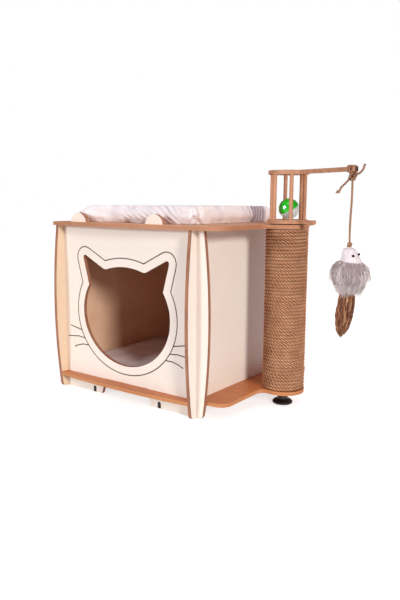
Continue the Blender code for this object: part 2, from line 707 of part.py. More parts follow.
def make_ball(cage, finishes):
    centre = (*BALL_SHIFT, CAGE_FLOOR_TOP + 2 * GAP + BALL_RADIUS)
    ball = empty("ball_centre", centre, -ARM_ANGLE, cage)
    add("ball_green_half", half_shell(BALL_TILT), ball, finishes["green"], smooth=True)
    add("ball_clear_half", half_shell(-BALL_TILT), ball, finishes["clear"], smooth=True)
    bm = bmesh.new()
    drop = Matrix.Translation((0, 0, -(BALL_RADIUS - BALL_WALL - 2 * GAP - BELL_RADIUS)))
    bmesh.ops.create_uvsphere(bm, u_segments=14, v_segments=8, radius=BELL_RADIUS, matrix=drop)
    add("ball_bell", bm, ball, finishes["steel"], smooth=True)


# Lure


def make_string(cage, finishes):
    """The loop round the arm, the knot under it, two loose ends, and the string that hangs."""
    jute = finishes["jute"]
    half_width = ARM_WIDTH / 2 + GAP + STRING_RADIUS
    half_height = BOARD / 2 + GAP + STRING_RADIUS
    bend = STRING_RADIUS + GAP
    loop = []
    for x, y, start in ((1, 1, 0), (-1, 1, 90), (-1, -1, 180), (1, -1, 270)):
        corner = (x * (half_width - bend), y * (half_height - bend))
        loop += arc(corner, bend, start, start + 90, 4)
    loop = [(0, u, v) for u, v in loop]
    arm_middle = ROOF_UNDER + BOARD / 2
    tube("toy_loop", loop, STRING_RADIUS, cage, jute, cyclic=True, location=(STRING_REACH, 0, arm_middle))

    knot_z = ROOF_UNDER - 2 * GAP - 2 * STRING_RADIUS - KNOT_RADIUS
    knot = empty("knot_centre", (STRING_REACH, 0, knot_z), MOUSE_TURN, cage)
    bm = bmesh.new()
    bmesh.ops.create_uvsphere(bm, u_segments=12, v_segments=8, radius=KNOT_RADIUS)
    add("toy_knot", bm, knot, jute, smooth=True)

    at_knot = (STRING_REACH, 0, knot_z)
    upper = smooth_route([Vector(p) * MM for p in UPPER_END], 3)
    tube("toy_end_upper", upper, STRING_RADIUS, cage, jute, location=at_knot)
    lower = smooth_route([Vector(p) * MM for p in LOWER_END], 3)
    widths = [1] * (len(lower) - 5) + [1.1, 1.5, 1.7, 1.5, 1.0]
    tube("toy_end_lower", lower, STRING_RADIUS, cage, jute, widths, location=at_knot)
    return knot


def make_mouse(knot, finishes):
    """String, end knot and the mouse that hangs from it, measured down from the knot's centre."""
    jute = finishes["jute"]
    top = -KNOT_RADIUS - GAP
    bottom = top - STRING_LENGTH
    steps = 10
    sway = 0.8 * MM
    heights = [top + (bottom - top) * i / steps for i in range(steps + 1)]
    route = [(sway * math.sin(2 * math.pi * i / steps), 0, z) for i, z in enumerate(heights)]
    tube("toy_string", route, STRING_RADIUS, knot, jute)
    bm = bmesh.new()
    bead = Matrix.Translation((0, 0, bottom - GAP - STRING_END_KNOT))
    bmesh.ops.create_uvsphere(bm, u_segments=12, v_segments=8, radius=STRING_END_KNOT, matrix=bead)
    add("toy_string_knot", bm, knot, jute, smooth=True)

    crown = bottom - 2 * GAP - 2 * STRING_END_KNOT
    chin = crown - HEAD_HEIGHT
    head_steps = 8
    turns = [math.pi / 2 * i / head_steps for i in range(head_steps + 1)]
    cone = [(HEAD_RADIUS * math.sin(t) ** 0.9, crown - HEAD_HEIGHT * (1 - math.cos(t))) for t in turns]
    head = turned(cone + [(0.0, chin)], segments=20)
    head = add("toy_head", head, knot, finishes["plush"], smooth=True)

    body_top = chin + HEAD_RADIUS / 4
    body = turned(body_profile(body_top, 0), segments=20)
    add("toy_body", body, knot, finishes["fur"], smooth=True)
    socket = add("body_cutter", turned(body_profile(body_top, GAP), segments=20), knot)
    cut(head, socket)

    way = Vector((math.cos(TAIL_WAY), math.sin(TAIL_WAY), 0))
    root_z = body_top - BODY_HEIGHT
    tail = add("toy_tail", tail_solid(way, root_z), knot, finishes["tail"], smooth=True)
    cut(tail, socket)
    for name, side in (("right", -1), ("left", 1)):
        make_eye(name, side, knot, chin, crown, head, finishes["bead"])


def tail_solid(way, root_z):
    """The brush of a tail: level rings that swell, taper and swing out along way as they go down."""
    steps, sides = 11, 14
    bm = bmesh.new()
    rings = []
    for i in range(steps + 1):
        t = i / steps
        middle = way * TAIL_SWING * (0.3 + 0.7 * t * t)
        middle.z = root_z + TAIL_LENGTH * (0.14 - t)
        radius = TAIL_RADIUS * (0.9 + 0.25 * math.sin(math.pi * t) - 0.4 * t ** 3)
        if i in (0, steps):
            radius *= 0.45
        turns = [2 * math.pi * k / sides for k in range(sides)]
        places = [middle + Vector((radius * math.cos(a), radius * math.sin(a), 0)) for a in turns]
        rings.append([bm.verts.new(place) for place in places])
    for low, high in zip(rings, rings[1:]):
        for k in range(sides):
            bm.faces.new((low[k - 1], low[k], high[k], high[k - 1]))
    bm.faces.new(rings[0])
    bm.faces.new(rings[-1])
    bmesh.ops.recalc_face_normals(bm, faces=bm.faces)
    return bm


def body_profile(top, grow):
    """The fur body's outline, grown outwards by a clearance."""
    steps = 10
    points = []
    for i in range(steps + 1):
        t = i / steps
        wide = (BODY_RADIUS + grow) * abs(math.sin(math.pi * t ** 0.85)) ** 0.7
        points.append((wide if 0 < i < steps else 0.0, top + grow - (BODY_HEIGHT + 2 * grow) * t))
    return points


def make_eye(name, side, knot, chin, crown, head, bead):
    """A bead set into the head, and the dimple that it sits in."""
    height = chin + EYE_HEIGHT
    t = math.acos(1 - (crown - height) / HEAD_HEIGHT)
    surface = HEAD_RADIUS * math.sin(t) ** 0.9
    angle = side * EYE_SPREAD
    place = (surface * math.cos(angle), surface * math.sin(angle), height)
    for radius, label in ((EYE_RADIUS, f"toy_eye_{name}"), (EYE_RADIUS + GAP, f"eye_{name}_cutter")):
        bm = bmesh.new()
        bmesh.ops.create_uvsphere(bm, u_segments=10, v_segments=6, radius=radius,
                                  matrix=Matrix.Translation(place))
        made = add(label, bm, knot, bead, smooth=True)
        if radius > EYE_RADIUS:
            cut(head, made)


# Cushions


def cushion(size):
    """A crowned pad, drawn in along its sides, its seam halfway up, resting at height 0."""
    width, depth, height = size
    seam = 0.36 * height
    bm = bmesh.new()
    for top in (True, False):
        made = bmesh.ops.create_grid(bm, x_segments=13, y_segments=13, size=1)["verts"]
        for vert in made:
            u, v = (math.sin(math.pi / 2 * c) for c in vert.co.xy)
            pull = 1 - CUSHION_PULL * (1 - v * v) - 0.03 * (u * v) ** 4
            lift = 1 - CUSHION_PULL * (1 - u * u) - 0.03 * (u * v) ** 4
            vert.co.x, vert.co.y = width / 2 * u * pull, depth / 2 * v * lift
            if top:
                crown = math.sqrt(max(0, 1 - u ** 8) * max(0, 1 - v ** 8)) * (1 - 0.06 * (u * u + v * v))
                vert.co.z = seam + (height - seam) * crown
            else:
                vert.co.z = seam * (1 - math.sqrt(max(0, 1 - u ** 8) * max(0, 1 - v ** 8)))
    bmesh.ops.remove_doubles(bm, verts=bm.verts, dist=1e-5)
    bmesh.ops.recalc_face_normals(bm, faces=bm.faces)
    return bm


def make_cushions(house, finishes):
    front_edge = -INNER_FRONT + TOP_CUSHION_PLAY
    on_deck = (TOP_CUSHION_SHIFT, front_edge + TOP_CUSHION[1] / 2, DECK_TOP + GAP)
    add("top_cushion", cushion(TOP_CUSHION), house, finishes["cushion"], on_deck, True)
    inside = (0, 0, BASE_TOP + GAP)
    add("floor_cushion", cushion(FLOOR_CUSHION), house, finishes["cushion"], inside, True)


def main():
    for obj in list(bpy.data.objects):
        bpy.data.objects.remove(obj)
    finishes = {
        "cream": material("cream_laminate", (248, 238, 229), 0.45),
        "beech": material("beech_board", (216, 158, 118), 0.5),
        "card": material("card_tube", (150, 115, 85), 0.8),
        "rope": material("sisal_rope", (190, 140, 104), 0.9),
        "jute": material("jute_string", (165, 130, 100), 0.9),
        "black": material("black_plastic", (35, 28, 30), 0.4),
        "rubber": material("black_rubber", (40, 30, 26), 0.8),
        "steel": material("zinc_steel", (180, 180, 178), 0.35, 1.0),
        "green": material("green_plastic", (0, 190, 20), 0.2),
        "clear": material("clear_plastic", (230, 238, 240), 0.1, alpha=0.4),
        "plush": material("white_plush", (240, 232, 238), 0.9),
        "fur": material("grey_fur", (200, 185, 185), 0.95),
        "tail": material("brown_fur", (150, 95, 60), 0.95),
        "bead": material("black_bead", (15, 12, 14), 0.15),
        "cushion": material("pale_cloth", (236, 226, 228), 0.9),
    }
    house = empty("house", (HOUSE_X, 0, 0))
    cage = empty("cage_pivot", (POST_X, 0, 0), ARM_ANGLE, house)
    make_panels(house, finishes["cream"])
    make_glides(house, finishes["rubber"])
    make_boards(house, finishes["beech"])
    make_post(house, finishes)
    make_foot(house, finishes)
    make_cage(cage, house, finishes)
    make_ball(cage, finishes)
    make_mouse(make_string(cage, finishes), finishes)
    make_cushions(house, finishes)


main()
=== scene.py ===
"""Looks of the cat scratcher house: its boards' finishes, its rope, cushions, string and toy."""

import itertools
import math
import random

import bmesh
import bpy
from mathutils import Matrix, Vector, noise

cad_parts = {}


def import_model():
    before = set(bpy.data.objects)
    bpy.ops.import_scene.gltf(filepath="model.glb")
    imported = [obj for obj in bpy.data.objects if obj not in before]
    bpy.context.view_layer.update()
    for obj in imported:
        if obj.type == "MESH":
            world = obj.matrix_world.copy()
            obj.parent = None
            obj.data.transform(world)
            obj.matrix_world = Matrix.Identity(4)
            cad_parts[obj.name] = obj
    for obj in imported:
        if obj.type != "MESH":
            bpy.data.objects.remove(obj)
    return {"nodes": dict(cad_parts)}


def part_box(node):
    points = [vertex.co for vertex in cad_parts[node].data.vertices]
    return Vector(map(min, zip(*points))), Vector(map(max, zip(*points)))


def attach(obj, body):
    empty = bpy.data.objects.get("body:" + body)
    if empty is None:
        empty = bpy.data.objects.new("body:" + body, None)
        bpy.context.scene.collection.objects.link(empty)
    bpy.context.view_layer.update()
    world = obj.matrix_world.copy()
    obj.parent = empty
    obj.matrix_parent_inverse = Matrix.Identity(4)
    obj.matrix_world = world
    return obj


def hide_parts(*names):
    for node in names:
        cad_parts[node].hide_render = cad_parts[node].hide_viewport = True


MM = 0.001

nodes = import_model()["nodes"]
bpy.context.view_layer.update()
scene = bpy.context.scene


# Places that the pieces share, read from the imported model


def middle_of(node):
    """The middle of a CAD node's box."""
    low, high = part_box(node)
    return (low + high) / 2


def flat_way(angle):
    """The level direction at an angle from X."""
    return Vector((math.cos(angle), math.sin(angle), 0))


FRONT_LOW, FRONT_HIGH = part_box("front_panel")
LEFT_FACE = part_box("left_panel")[0].x
RIGHT_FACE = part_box("right_panel")[1].x
BACK_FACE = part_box("back_panel")[1].y
BASE_LOW, BASE_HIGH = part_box("base_board")
DECK_LOW, DECK_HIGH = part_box("top_board")
TUBE_LOW, TUBE_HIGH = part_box("post_tube")
POST = middle_of("post_tube")
TUBE_RADIUS = (TUBE_HIGH.x - TUBE_LOW.x) / 2
KNOT = middle_of("toy_knot")
ARM_TURN = math.atan2(KNOT.y - POST.y, KNOT.x - POST.x)
ARM_WAY = flat_way(ARM_TURN)
ARM_ACROSS = flat_way(ARM_TURN + math.pi / 2)
ARM_END = max((v.co - POST).dot(ARM_WAY) for v in nodes["cage_roof_arm"].data.vertices)


# Shader maths


class Field:
    """A number that changes over a surface, with Python's operators as Math nodes."""

    def __init__(self, graph, socket):
        self.graph = graph
        self.socket = socket

    def maths(self, operation, *values):
        return self.graph.node("ShaderNodeMath", {"operation": operation}, dict(enumerate(values)))

    def __add__(self, other):
        return self.maths("ADD", self, other)

    def __sub__(self, other):
        return self.maths("SUBTRACT", self, other)

    def __rsub__(self, other):
        return self.maths("SUBTRACT", other, self)

    def __mul__(self, other):
        return self.maths("MULTIPLY", self, other)

    def __abs__(self):
        return self.maths("ABSOLUTE", self)

    __radd__ = __add__

    def sine(self):
        return self.maths("SINE", self)

    def wave(self, pitch):
        """A sine that repeats every pitch of the field."""
        return (self * (2 * math.pi / pitch)).sine()

    def least(self, other):
        return self.maths("MINIMUM", self, other)

    def most(self, other):
        return self.maths("MAXIMUM", self, other)

    def rise(self, low, high):
        """0 below low, 1 above high, and smooth between them."""
        span = {"interpolation_type": "SMOOTHSTEP"}
        ends = {"Value": self, "From Min": low, "From Max": high, "To Min": 0.0, "To Max": 1.0}
        return self.graph.node("ShaderNodeMapRange", span, ends)

    def band(self, centre, half, soft):
        """1 within half of the centre, and 0 further than that by soft."""
        return 1 - abs(self - centre).rise(half, half + soft)


class Graph:
    """A tree of shader nodes, and the one way to add to it."""

    def __init__(self, tree):
        self.tree = tree

    def feed(self, socket, value):
        if isinstance(value, Field):
            self.tree.links.new(value.socket, socket)
        else:
            socket.default_value = value

    def node(self, kind, settings=None, values=None, output=0):
        """Adds a node: first its settings, a ramp's stops among them, then its sockets."""
        made = self.tree.nodes.new(kind)
        for key, value in (settings or {}).items():
            if key == "stops":
                elements = made.color_ramp.elements
                while len(elements) < len(value):
                    elements.new(0.5)
                for element, (place, colour) in zip(elements, value):
                    element.position = place
                    element.color = colour
            else:
                setattr(made, key, value)
        for key, value in (values or {}).items():
            self.feed(made.inputs[key], value)
        return Field(self, made.outputs[output])

    def ray(self, *kinds):
        """1 for a ray of any of these kinds."""
        path = self.node("ShaderNodeLightPath").socket.node
        seen = [Field(self, path.outputs[f"Is {kind} Ray"]) for kind in kinds]
        found = seen[0]
        for other in seen[1:]:
            found = found.most(other)
        return found


class Finish(Graph):
    """A material: its Principled shader and the nodes that feed it."""

    def __init__(self, name, roughness=0.5, metallic=0.0, **sockets):
        self.material = bpy.data.materials.new(name)
        self.material.use_nodes = True
        super().__init__(self.material.node_tree)
        self.shader = self.tree.nodes["Principled BSDF"]
        self.set("Roughness", roughness)
        self.set("Metallic", metallic)
        for socket, value in sockets.items():
            self.set(socket.replace("_", " "), value)

    def set(self, socket, value):
        self.feed(self.shader.inputs[socket], value)

    def place(self):
        """The point on the part, in metres, as a vector."""
        return self.node("ShaderNodeTexCoord", output="Object")

    def axes(self, place):
        whole = self.node("ShaderNodeSeparateXYZ", None, {"Vector": place}).socket.node
        return [Field(self, socket) for socket in whole.outputs]

    def scaled(self, place, x, y, z):
        values = {0: place, 1: (x, y, z)}
        return self.node("ShaderNodeVectorMath", {"operation": "MULTIPLY"}, values)

    def clouds(self, place, scale, detail=3.0, roughness=0.5):
        """Soft noise, around one half."""
        values = {"Vector": place, "Scale": scale, "Detail": detail, "Roughness": roughness}
        return self.node("ShaderNodeTexNoise", None, values)

    def ramp(self, field, stops):
        return self.node("ShaderNodeValToRGB", {"stops": stops}, {"Fac": field})

    def mix(self, mask, first, second):
        """The first colour where the mask is 0, the second where it is 1."""
        # A colour mix has its factor, colours and result at these places
        values = {0: mask, 6: first, 7: second}
        return self.node("ShaderNodeMix", {"data_type": "RGBA"}, values, output=2)

    def attribute(self, name):
        return self.node("ShaderNodeAttribute", {"attribute_name": name}, output="Fac")

    def colour(self, value):
        self.set("Base Color", value)

    def bump(self, height, distance, strength=1.0):
        """Raises the surface by up to distance, in metres, where height is 1."""
        values = {"Height": height, "Distance": distance, "Strength": strength}
        self.set("Normal", self.node("ShaderNodeBump", None, values))


def tint(red, green, blue):
    """A colour as a screen shows it, 0 to 255, in the linear values of a shader."""
    parts = [c / 255 for c in (red, green, blue)]
    return tuple(((p + 0.055) / 1.055) ** 2.4 if p > 0.04 else p / 12.92 for p in parts) + (1.0,)


def dress(finish, *dressed):
    """Gives CAD nodes their finish."""
    for node in dressed:
        mesh = nodes[node].data
        mesh.materials.clear()
        mesh.materials.append(finish.material)


# Finishes

# Edges no deeper than this are the walls of an engraved line
ENGRAVED_DEPTH = 0.9 * MM


def board_finish(name, across):
    """Laminated board: cream outside, edges browned by the laser, and painted shade on the inner
    faces.

    It goes by how deep a point lies under the outer face: of the front and back panels, which
    stand across the house, or of the side panels.
    """
    finish = Finish(name, roughness=0.42)
    place = finish.place()
    x, y, _ = finish.axes(place)
    thick = FRONT_HIGH.y - FRONT_LOW.y
    from_front = (y - FRONT_LOW.y).least(BACK_FACE - y)
    from_side = (x - LEFT_FACE).least(RIGHT_FACE - x)
    depth, beyond = (from_front, from_side) if across else (from_side, from_front)
    burn = depth.rise(0.02 * MM, 0.05 * MM)
    inner = depth.rise(thick - 0.08 * MM, thick - 0.03 * MM)
    fin = 1 - beyond.rise(-0.2 * MM, 0.0)
    engraved = 1 - depth.rise(ENGRAVED_DEPTH, ENGRAVED_DEPTH + 0.35 * MM)
    fibre = finish.clouds(finish.scaled(place, 900, 900, 2600), 1.0, 3.0, 0.6)
    blotch = finish.clouds(place, 22, 3.0)
    face_noise = finish.clouds(place, 9, 3.0) * 0.6 + finish.clouds(place, 160, 2.0) * 0.4
    cream = finish.ramp(face_noise, [(0.3, tint(240, 226, 215)), (0.7, tint(246, 234, 224))])
    pores = finish.clouds(finish.scaled(place, 1100, 1100, 60), 1.0, 2.0)
    # Painted shade: the inner faces within the house are coloured light brown for the shade in
    # there
    inside_shade = finish.ramp(pores * 0.45 + blotch * 0.55,
                      [(0.3, tint(228, 180, 150)), (0.7, tint(242, 202, 172))])
    # Painted shade: the inner faces of the fins are a darker, yellower cream for the shade they
    # stand in
    fin_back_shade = finish.ramp(face_noise, [(0.3, tint(226, 199, 171)), (0.7, tint(235, 209, 183))])
    edge = finish.ramp(fibre * 0.6 + blotch * 0.4,
                       [(0.3, tint(128, 78, 54)), (0.7, tint(192, 132, 100))])
    scorch = finish.ramp(fibre, [(0.25, tint(54, 29, 18)), (0.75, tint(88, 52, 35))])
    edge = finish.mix(engraved * 0.9, edge, scorch)
    outside = finish.mix(burn, cream, edge)
    finish.colour(finish.mix(inner, outside, finish.mix(fin, inside_shade, fin_back_shade)))
    finish.set("Roughness", 0.4 + burn * 0.3)
    grain = finish.clouds(finish.scaled(place, 700, 700, 700), 1.0, 2.0)
    finish.bump(grain * 0.4 + fibre * burn, 0.00012, 0.6)
    return finish


def wood_finish(name, light, dark, upright=False, dark_end_from=None):
    """Fine-grained beech with short dark flecks; the grain runs along X, or along Z if upright.

    Given a distance out from the post along the arm, the wood is dark brown beyond it.
    """
    finish = Finish(name, roughness=0.5)
    place = finish.place()
    stretch = (210, 210, 12) if upright else (14, 190, 190)
    grain = finish.clouds(finish.scaled(place, *stretch), 1.0, 4.0, 0.6)
    fleck = finish.clouds(finish.scaled(place, *(6 * s for s in stretch)), 1.0, 2.0, 0.5)
    blotch = finish.clouds(place, 14, 3.0)
    mixed = grain * 0.5 + fleck * 0.25 + blotch * 0.25
    colour = finish.ramp(mixed, [(0.34, dark), (0.62, light)])
    if dark_end_from:
        x, y, _ = finish.axes(place)
        out = (x - POST.x) * ARM_WAY.x + (y - POST.y) * ARM_WAY.y
        # Dark brown beyond that distance, at the end of the arm
        colour = finish.mix(out.rise(dark_end_from - 1 * MM, dark_end_from), colour, tint(78, 42, 30))
    finish.colour(colour)
    finish.set("Roughness", 0.42 + fleck * 0.2)
    finish.bump(grain * 0.5 + fleck * 0.5, 0.0002, 0.5)
    return finish


# Pairs of light and dark layers that show across a sawn edge
EDGE_LAYERS = 4


def flat_board_finish(name, light, dark, edge_light, edge_dark, low, high):
    """A level board with a smooth face above and below, and a sawn edge with its layers."""
    finish = Finish(name, roughness=0.5)
    place = finish.place()
    z = finish.axes(place)[2]
    grain = finish.clouds(finish.scaled(place, 16, 240, 240), 1.0, 4.0, 0.6)
    fleck = finish.clouds(finish.scaled(place, 120, 1300, 900), 1.0, 2.0)
    blotch = finish.clouds(place, 11, 3.0)
    face = finish.ramp(grain * 0.45 + fleck * 0.2 + blotch * 0.35, [(0.32, dark), (0.66, light)])
    layers = (z - low).wave((high - low) / EDGE_LAYERS) * 0.1
    fibre = finish.clouds(finish.scaled(place, 420, 420, 1900), 1.0, 3.0, 0.6)
    edge = finish.ramp(fibre * 0.7 + blotch * 0.3 + layers, [(0.3, edge_dark), (0.7, edge_light)])
    skin = 0.25 * MM
    on_edge = (z - low).least(high - z).rise(skin, 1.6 * skin)
    finish.colour(finish.mix(on_edge, face, edge))
    finish.set("Roughness", 0.46 + on_edge * 0.2)
    finish.bump(grain * (1 - on_edge) + fibre * on_edge, 0.00015, 0.6)
    return finish


def rope_finish(name, light, dark, hair, groove_shade, depth):
    """Twisted plant fibre: pale fibres over brown, with painted shade in the grooves between the
    strands.

    The mesh says where it lies in its crown attribute, 0 deep in the grooves and 1 outermost.
    """
    finish = Finish(name, roughness=0.85, Sheen_Weight=0.06, Sheen_Roughness=0.5)
    place = finish.place()
    fibres = finish.clouds(finish.scaled(place, 900, 900, 2200), 1.0, 4.0, 0.65)
    blotch = finish.clouds(place, 46, 3.0)
    streak = finish.clouds(finish.scaled(place, 300, 300, 240), 1.0, 3.0)
    mixed = fibres * 0.45 + blotch * 0.3 + streak * 0.25
    colour = finish.ramp(mixed, [(0.32, tint(*dark)), (0.5, tint(*light)), (0.72, tint(*hair))])
    # Painted shade: the grooves take a dark colour, the crowns the fibres' own
    crown = finish.attribute("crown").rise(*depth)
    finish.colour(finish.mix(crown, tint(*groove_shade), colour))
    finish.bump(fibres * 0.7 + streak * 0.3, 0.0006, 0.7)
    return finish


def plastic_finish(name, colour, roughness, speck=0.04, **sockets):
    """Moulded plastic with a faint skin, and a colour that dips by three times speck."""
    finish = Finish(name, roughness=roughness, **sockets)
    place = finish.place()
    fine = finish.clouds(place, 900, 2.0)
    soft = finish.clouds(place, 35, 3.0)
    low = tuple(c * (1 - 3 * speck) for c in colour[:3]) + (1.0,)
    finish.colour(finish.ramp(soft * 0.7 + fine * 0.3, [(0.3, low), (0.7, colour)]))
    finish.set("Roughness", roughness * 0.85 + soft * roughness * 0.3)
    finish.bump(fine, 0.00006, 0.5)
    return finish


def steel_finish(name):
    """Zinc-plated steel, brushed round its axis."""
    finish = Finish(name, roughness=0.3, metallic=1.0)
    place = finish.place()
    brushed = finish.clouds(finish.scaled(place, 150, 150, 2600), 1.0, 3.0)
    spots = finish.clouds(place, 160, 3.0)
    finish.colour(finish.ramp(spots, [(0.3, tint(176, 178, 184)), (0.7, tint(214, 216, 220))]))
    finish.set("Roughness", 0.22 + brushed * 0.2)
    finish.bump(brushed, 0.00004, 0.4)
    return finish


def card_finish(name):
    """Card tube of grey-brown paper."""
    finish = Finish(name, roughness=0.9)
    place = finish.place()
    fleck = finish.clouds(place, 1400, 3.0, 0.6)
    soft = finish.clouds(place, 60, 2.0)
    stops = [(0.3, tint(128, 100, 74)), (0.7, tint(178, 148, 116))]
    finish.colour(finish.ramp(fleck * 0.6 + soft * 0.4, stops))
    finish.bump(fleck, 0.0002, 0.5)
    return finish


panel_across = board_finish("laminate_front_back", across=True)
panel_side = board_finish("laminate_sides", across=False)
deck_board = flat_board_finish("beech_deck", tint(222, 168, 128), tint(190, 134, 96),
                               tint(206, 146, 110), tint(158, 98, 66), DECK_LOW.z, DECK_HIGH.z)
base_wood = flat_board_finish("beech_base", tint(206, 126, 68), tint(168, 90, 46),
                              tint(214, 146, 96), tint(176, 110, 66), BASE_LOW.z, BASE_HIGH.z)
cage_wood = wood_finish("beech_cage", tint(206, 150, 116), tint(158, 104, 74),
                        dark_end_from=ARM_END - 1.5 * MM)
dowel_wood = wood_finish("beech_dowel", tint(212, 152, 116), tint(164, 108, 76), upright=True)
plug_wood = wood_finish("beech_plug", tint(224, 166, 128), tint(186, 128, 92))
steel = steel_finish("zinc_steel")
black = plastic_finish("black_plastic", tint(24, 14, 14), 0.4)
rubber = plastic_finish("black_rubber", tint(26, 20, 20), 0.75)
green = plastic_finish("green_plastic", tint(0, 196, 24), 0.14, 0.03,
                       Coat_Weight=0.8, Coat_Roughness=0.05)
clear = plastic_finish("clear_plastic", tint(236, 240, 242), 0.08, 0.01,
                       Alpha=0.36, Coat_Weight=1.0)
card = card_finish("card_tube")

DOWELS = [f"cage_dowel_{i + 1}" for i in range(6)]
GLIDES = ["glide_front_left", "glide_front_right", "glide_back_left", "glide_back_right"]
STEEL_PARTS = ["insert_nut_top", "insert_nut_bottom", "cage_bolt", "foot_stem", "ball_bell"]

dress(panel_across, "front_panel", "back_panel")
dress(panel_side, "left_panel", "right_panel")
dress(deck_board, "top_board")
dress(base_wood, "base_board")
dress(cage_wood, "cage_floor", "cage_roof_arm")
dress(dowel_wood, *DOWELS)
dress(plug_wood, "post_plug_top", "post_plug_bottom")
dress(steel, *STEEL_PARTS)
dress(rubber, *GLIDES, "cage_washer")
dress(black, "foot_pad")
dress(card, "post_tube")
dress(green, "ball_green_half")
dress(clear, "ball_clear_half")


# Ways to make a piece


# Corners round a laid string, and the strands in it
LAID_SIDES = 12
STRANDS = 3


def eased(value, low, high):
    """0 below low, 1 above high, smooth between."""
    t = min(max((value - low) / (high - low), 0.0), 1.0)
    return t * t * (3 - 2 * t)


def settle(name, mesh, finish, body, replaced=()):
    """Gives a mesh its finish, its body and the CAD nodes that it stands for."""
    mesh.materials.clear()
    mesh.materials.append(finish.material)
    mesh.shade_smooth()
    made = add_object(name, mesh)
    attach(made, body)
    if replaced:
        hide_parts(*replaced)
    return made


def as_mesh(name, bm):
    mesh = bpy.data.meshes.new(name)
    bm.to_mesh(mesh)
    bm.free()
    return mesh


def add_object(name, data):
    made = bpy.data.objects.new(name, data)
    scene.collection.objects.link(made)
    return made


def piece(name, bm, finish, body, replaced=()):
    return settle(name, as_mesh(name, bm), finish, body, replaced)


def as_drawn(holder):
    """A new mesh of an object with its modifiers or its sweep applied."""
    graph = bpy.context.evaluated_depsgraph_get()
    return bpy.data.meshes.new_from_object(holder.evaluated_get(graph), depsgraph=graph)


def point_layer(mesh, name, values):
    """Gives the mesh a number at each vertex, for a finish to read."""
    layer = mesh.attributes.new(name, "FLOAT", "POINT")
    for spot, value in zip(layer.data, values):
        spot.value = value


def smooth_route(points, steps):
    """Points along a smooth curve through the given ones, steps to a stretch."""
    known = [Vector(p) for p in points]
    ends = [2 * known[0] - known[1]] + known + [2 * known[-1] - known[-2]]
    route = []
    for a, b, c, d in zip(ends, ends[1:], ends[2:], ends[3:]):
        for i in range(steps):
            t = i / steps
            bend = (2 * a - 5 * b + 4 * c - d) * t * t + (3 * b - a - 3 * c + d) * t * t * t
            route.append(b + ((c - a) * t + bend) / 2)
    return route + [known[-1]]


def laid_outline(name, radius):
    """The outline of three laid strands, as a curve to sweep."""
    outline = bpy.data.curves.new(name, "CURVE")
    outline.dimensions = "2D"
    spline = outline.splines.new("POLY")
    spline.points.add(LAID_SIDES - 1)
    for i, point in enumerate(spline.points):
        a = 2 * math.pi * i / LAID_SIDES
        reach = radius * (0.9 + 0.14 * math.cos(STRANDS * a))
        point.co = (reach * math.cos(a), reach * math.sin(a), 0, 1)
    spline.use_cyclic_u = True
    return bpy.data.objects.new(name, outline)


def swept(name, routes, radius, sides=6, lay=None, widths=None, tilts=None):
    """A mesh along each route: round, or three laid strands that turn once in every lay.

    A round one can take tilts instead, which turn its corners about the route.
    """
    curve = bpy.data.curves.new(name, "CURVE")
    curve.dimensions = "3D"
    curve.use_fill_caps = True
    if tilts:
        curve.twist_mode = "Z_UP"
    outline = None
    if lay:
        outline = laid_outline(name + "_outline", radius)
        curve.bevel_mode = "OBJECT"
        curve.bevel_object = outline
    else:
        curve.bevel_depth = radius
        curve.bevel_resolution = sides // 2 - 2
    for r, route in enumerate(routes):
        spline = curve.splines.new("POLY")
        spline.points.add(len(route) - 1)
        gone = 0.0
        last = route[0]
        for i, (point, place) in enumerate(zip(spline.points, route)):
            gone += (Vector(place) - Vector(last)).length
            last = place
            point.co = (*place, 1)
            point.radius = widths[i] if widths else 1.0
            if tilts:
                point.tilt = tilts[r][i]
            elif lay:
                point.tilt = 2 * math.pi * gone / lay
    mesh = as_drawn(add_object(name + "_wire", curve))
    mesh.name = name
    bpy.data.curves.remove(curve)
    if outline:
        bpy.data.curves.remove(outline.data)
        # How far out each corner lies, for the painted shade in the grooves
        ring = [0.5 + 0.5 * math.cos(STRANDS * 2 * math.pi * i / LAID_SIDES)
                for i in range(LAID_SIDES)]
        point_layer(mesh, "crown", itertools.cycle(ring))
    return mesh


def evened(route, step):
    """The same route with its points a step apart."""
    route = [Vector(p) for p in route]
    points = [route[0]]
    left = step
    for a, b in zip(route, route[1:]):
        span = (b - a).length
        done = 0.0
        while span - done > left:
            done += left
            points.append(a.lerp(b, done / span))
            left = step
        left -= span - done
    if (points[-1] - route[-1]).length > step * 0.3:
        points.append(route[-1])
    else:
        points[-1] = route[-1]
    return points


# Camera, at the photograph's angle


def place_camera():
    made = bpy.data.cameras.new("camera")
    made.sensor_fit = "VERTICAL"
    made.sensor_height = 36
    made.lens = 36.44
    made.clip_start = 0.05
    right = Vector((0.80645618, 0.59126848, 0.00547911))
    up = Vector((-0.09864305, 0.12539544, 0.98719073))
    turn = Matrix((right, up, right.cross(up))).transposed().to_4x4()
    camera = add_object("camera", made)
    camera.matrix_world = Matrix.Translation((0.759658, -1.118695, 0.424515)) @ turn
    scene.camera = camera


place_camera()


# Strings and cords of the lure

# The fourth colour is painted shade in the grooves between strands
jute = rope_finish("jute_string", (184, 136, 106), (142, 98, 74), (218, 178, 148),
                   (124, 82, 60), (0.0, 0.7))

STRING_RADIUS = 2.1 * MM
STRING_LENGTH = 117 * MM
STRING_LAY = 13 * MM
# How far apart the points of a string's route lie
STRING_STEP = 1.1 * MM
LURE_TURN = ARM_TURN + math.radians(6)

# Routes of the loose ends, in millimetres from the knot's centre: along the arm, across it, up
UPPER_END = ((3.5, -0.5, 2.2), (7.5, -1, 2.7), (15.9, -4, 4.1), (22, -4, 6.5), (27.7, -3, 12.3),
             (29, -2, 17.9), (30.1, -2, 20.1))
LOWER_END = ((-2.8, -2.8, -1.0), (-6.3, -4.4, -6.4), (-11.8, -6, -12), (-19.4, -8, -19),
             (-21.7, -9, -24.4), (-26.3, -11, -27))
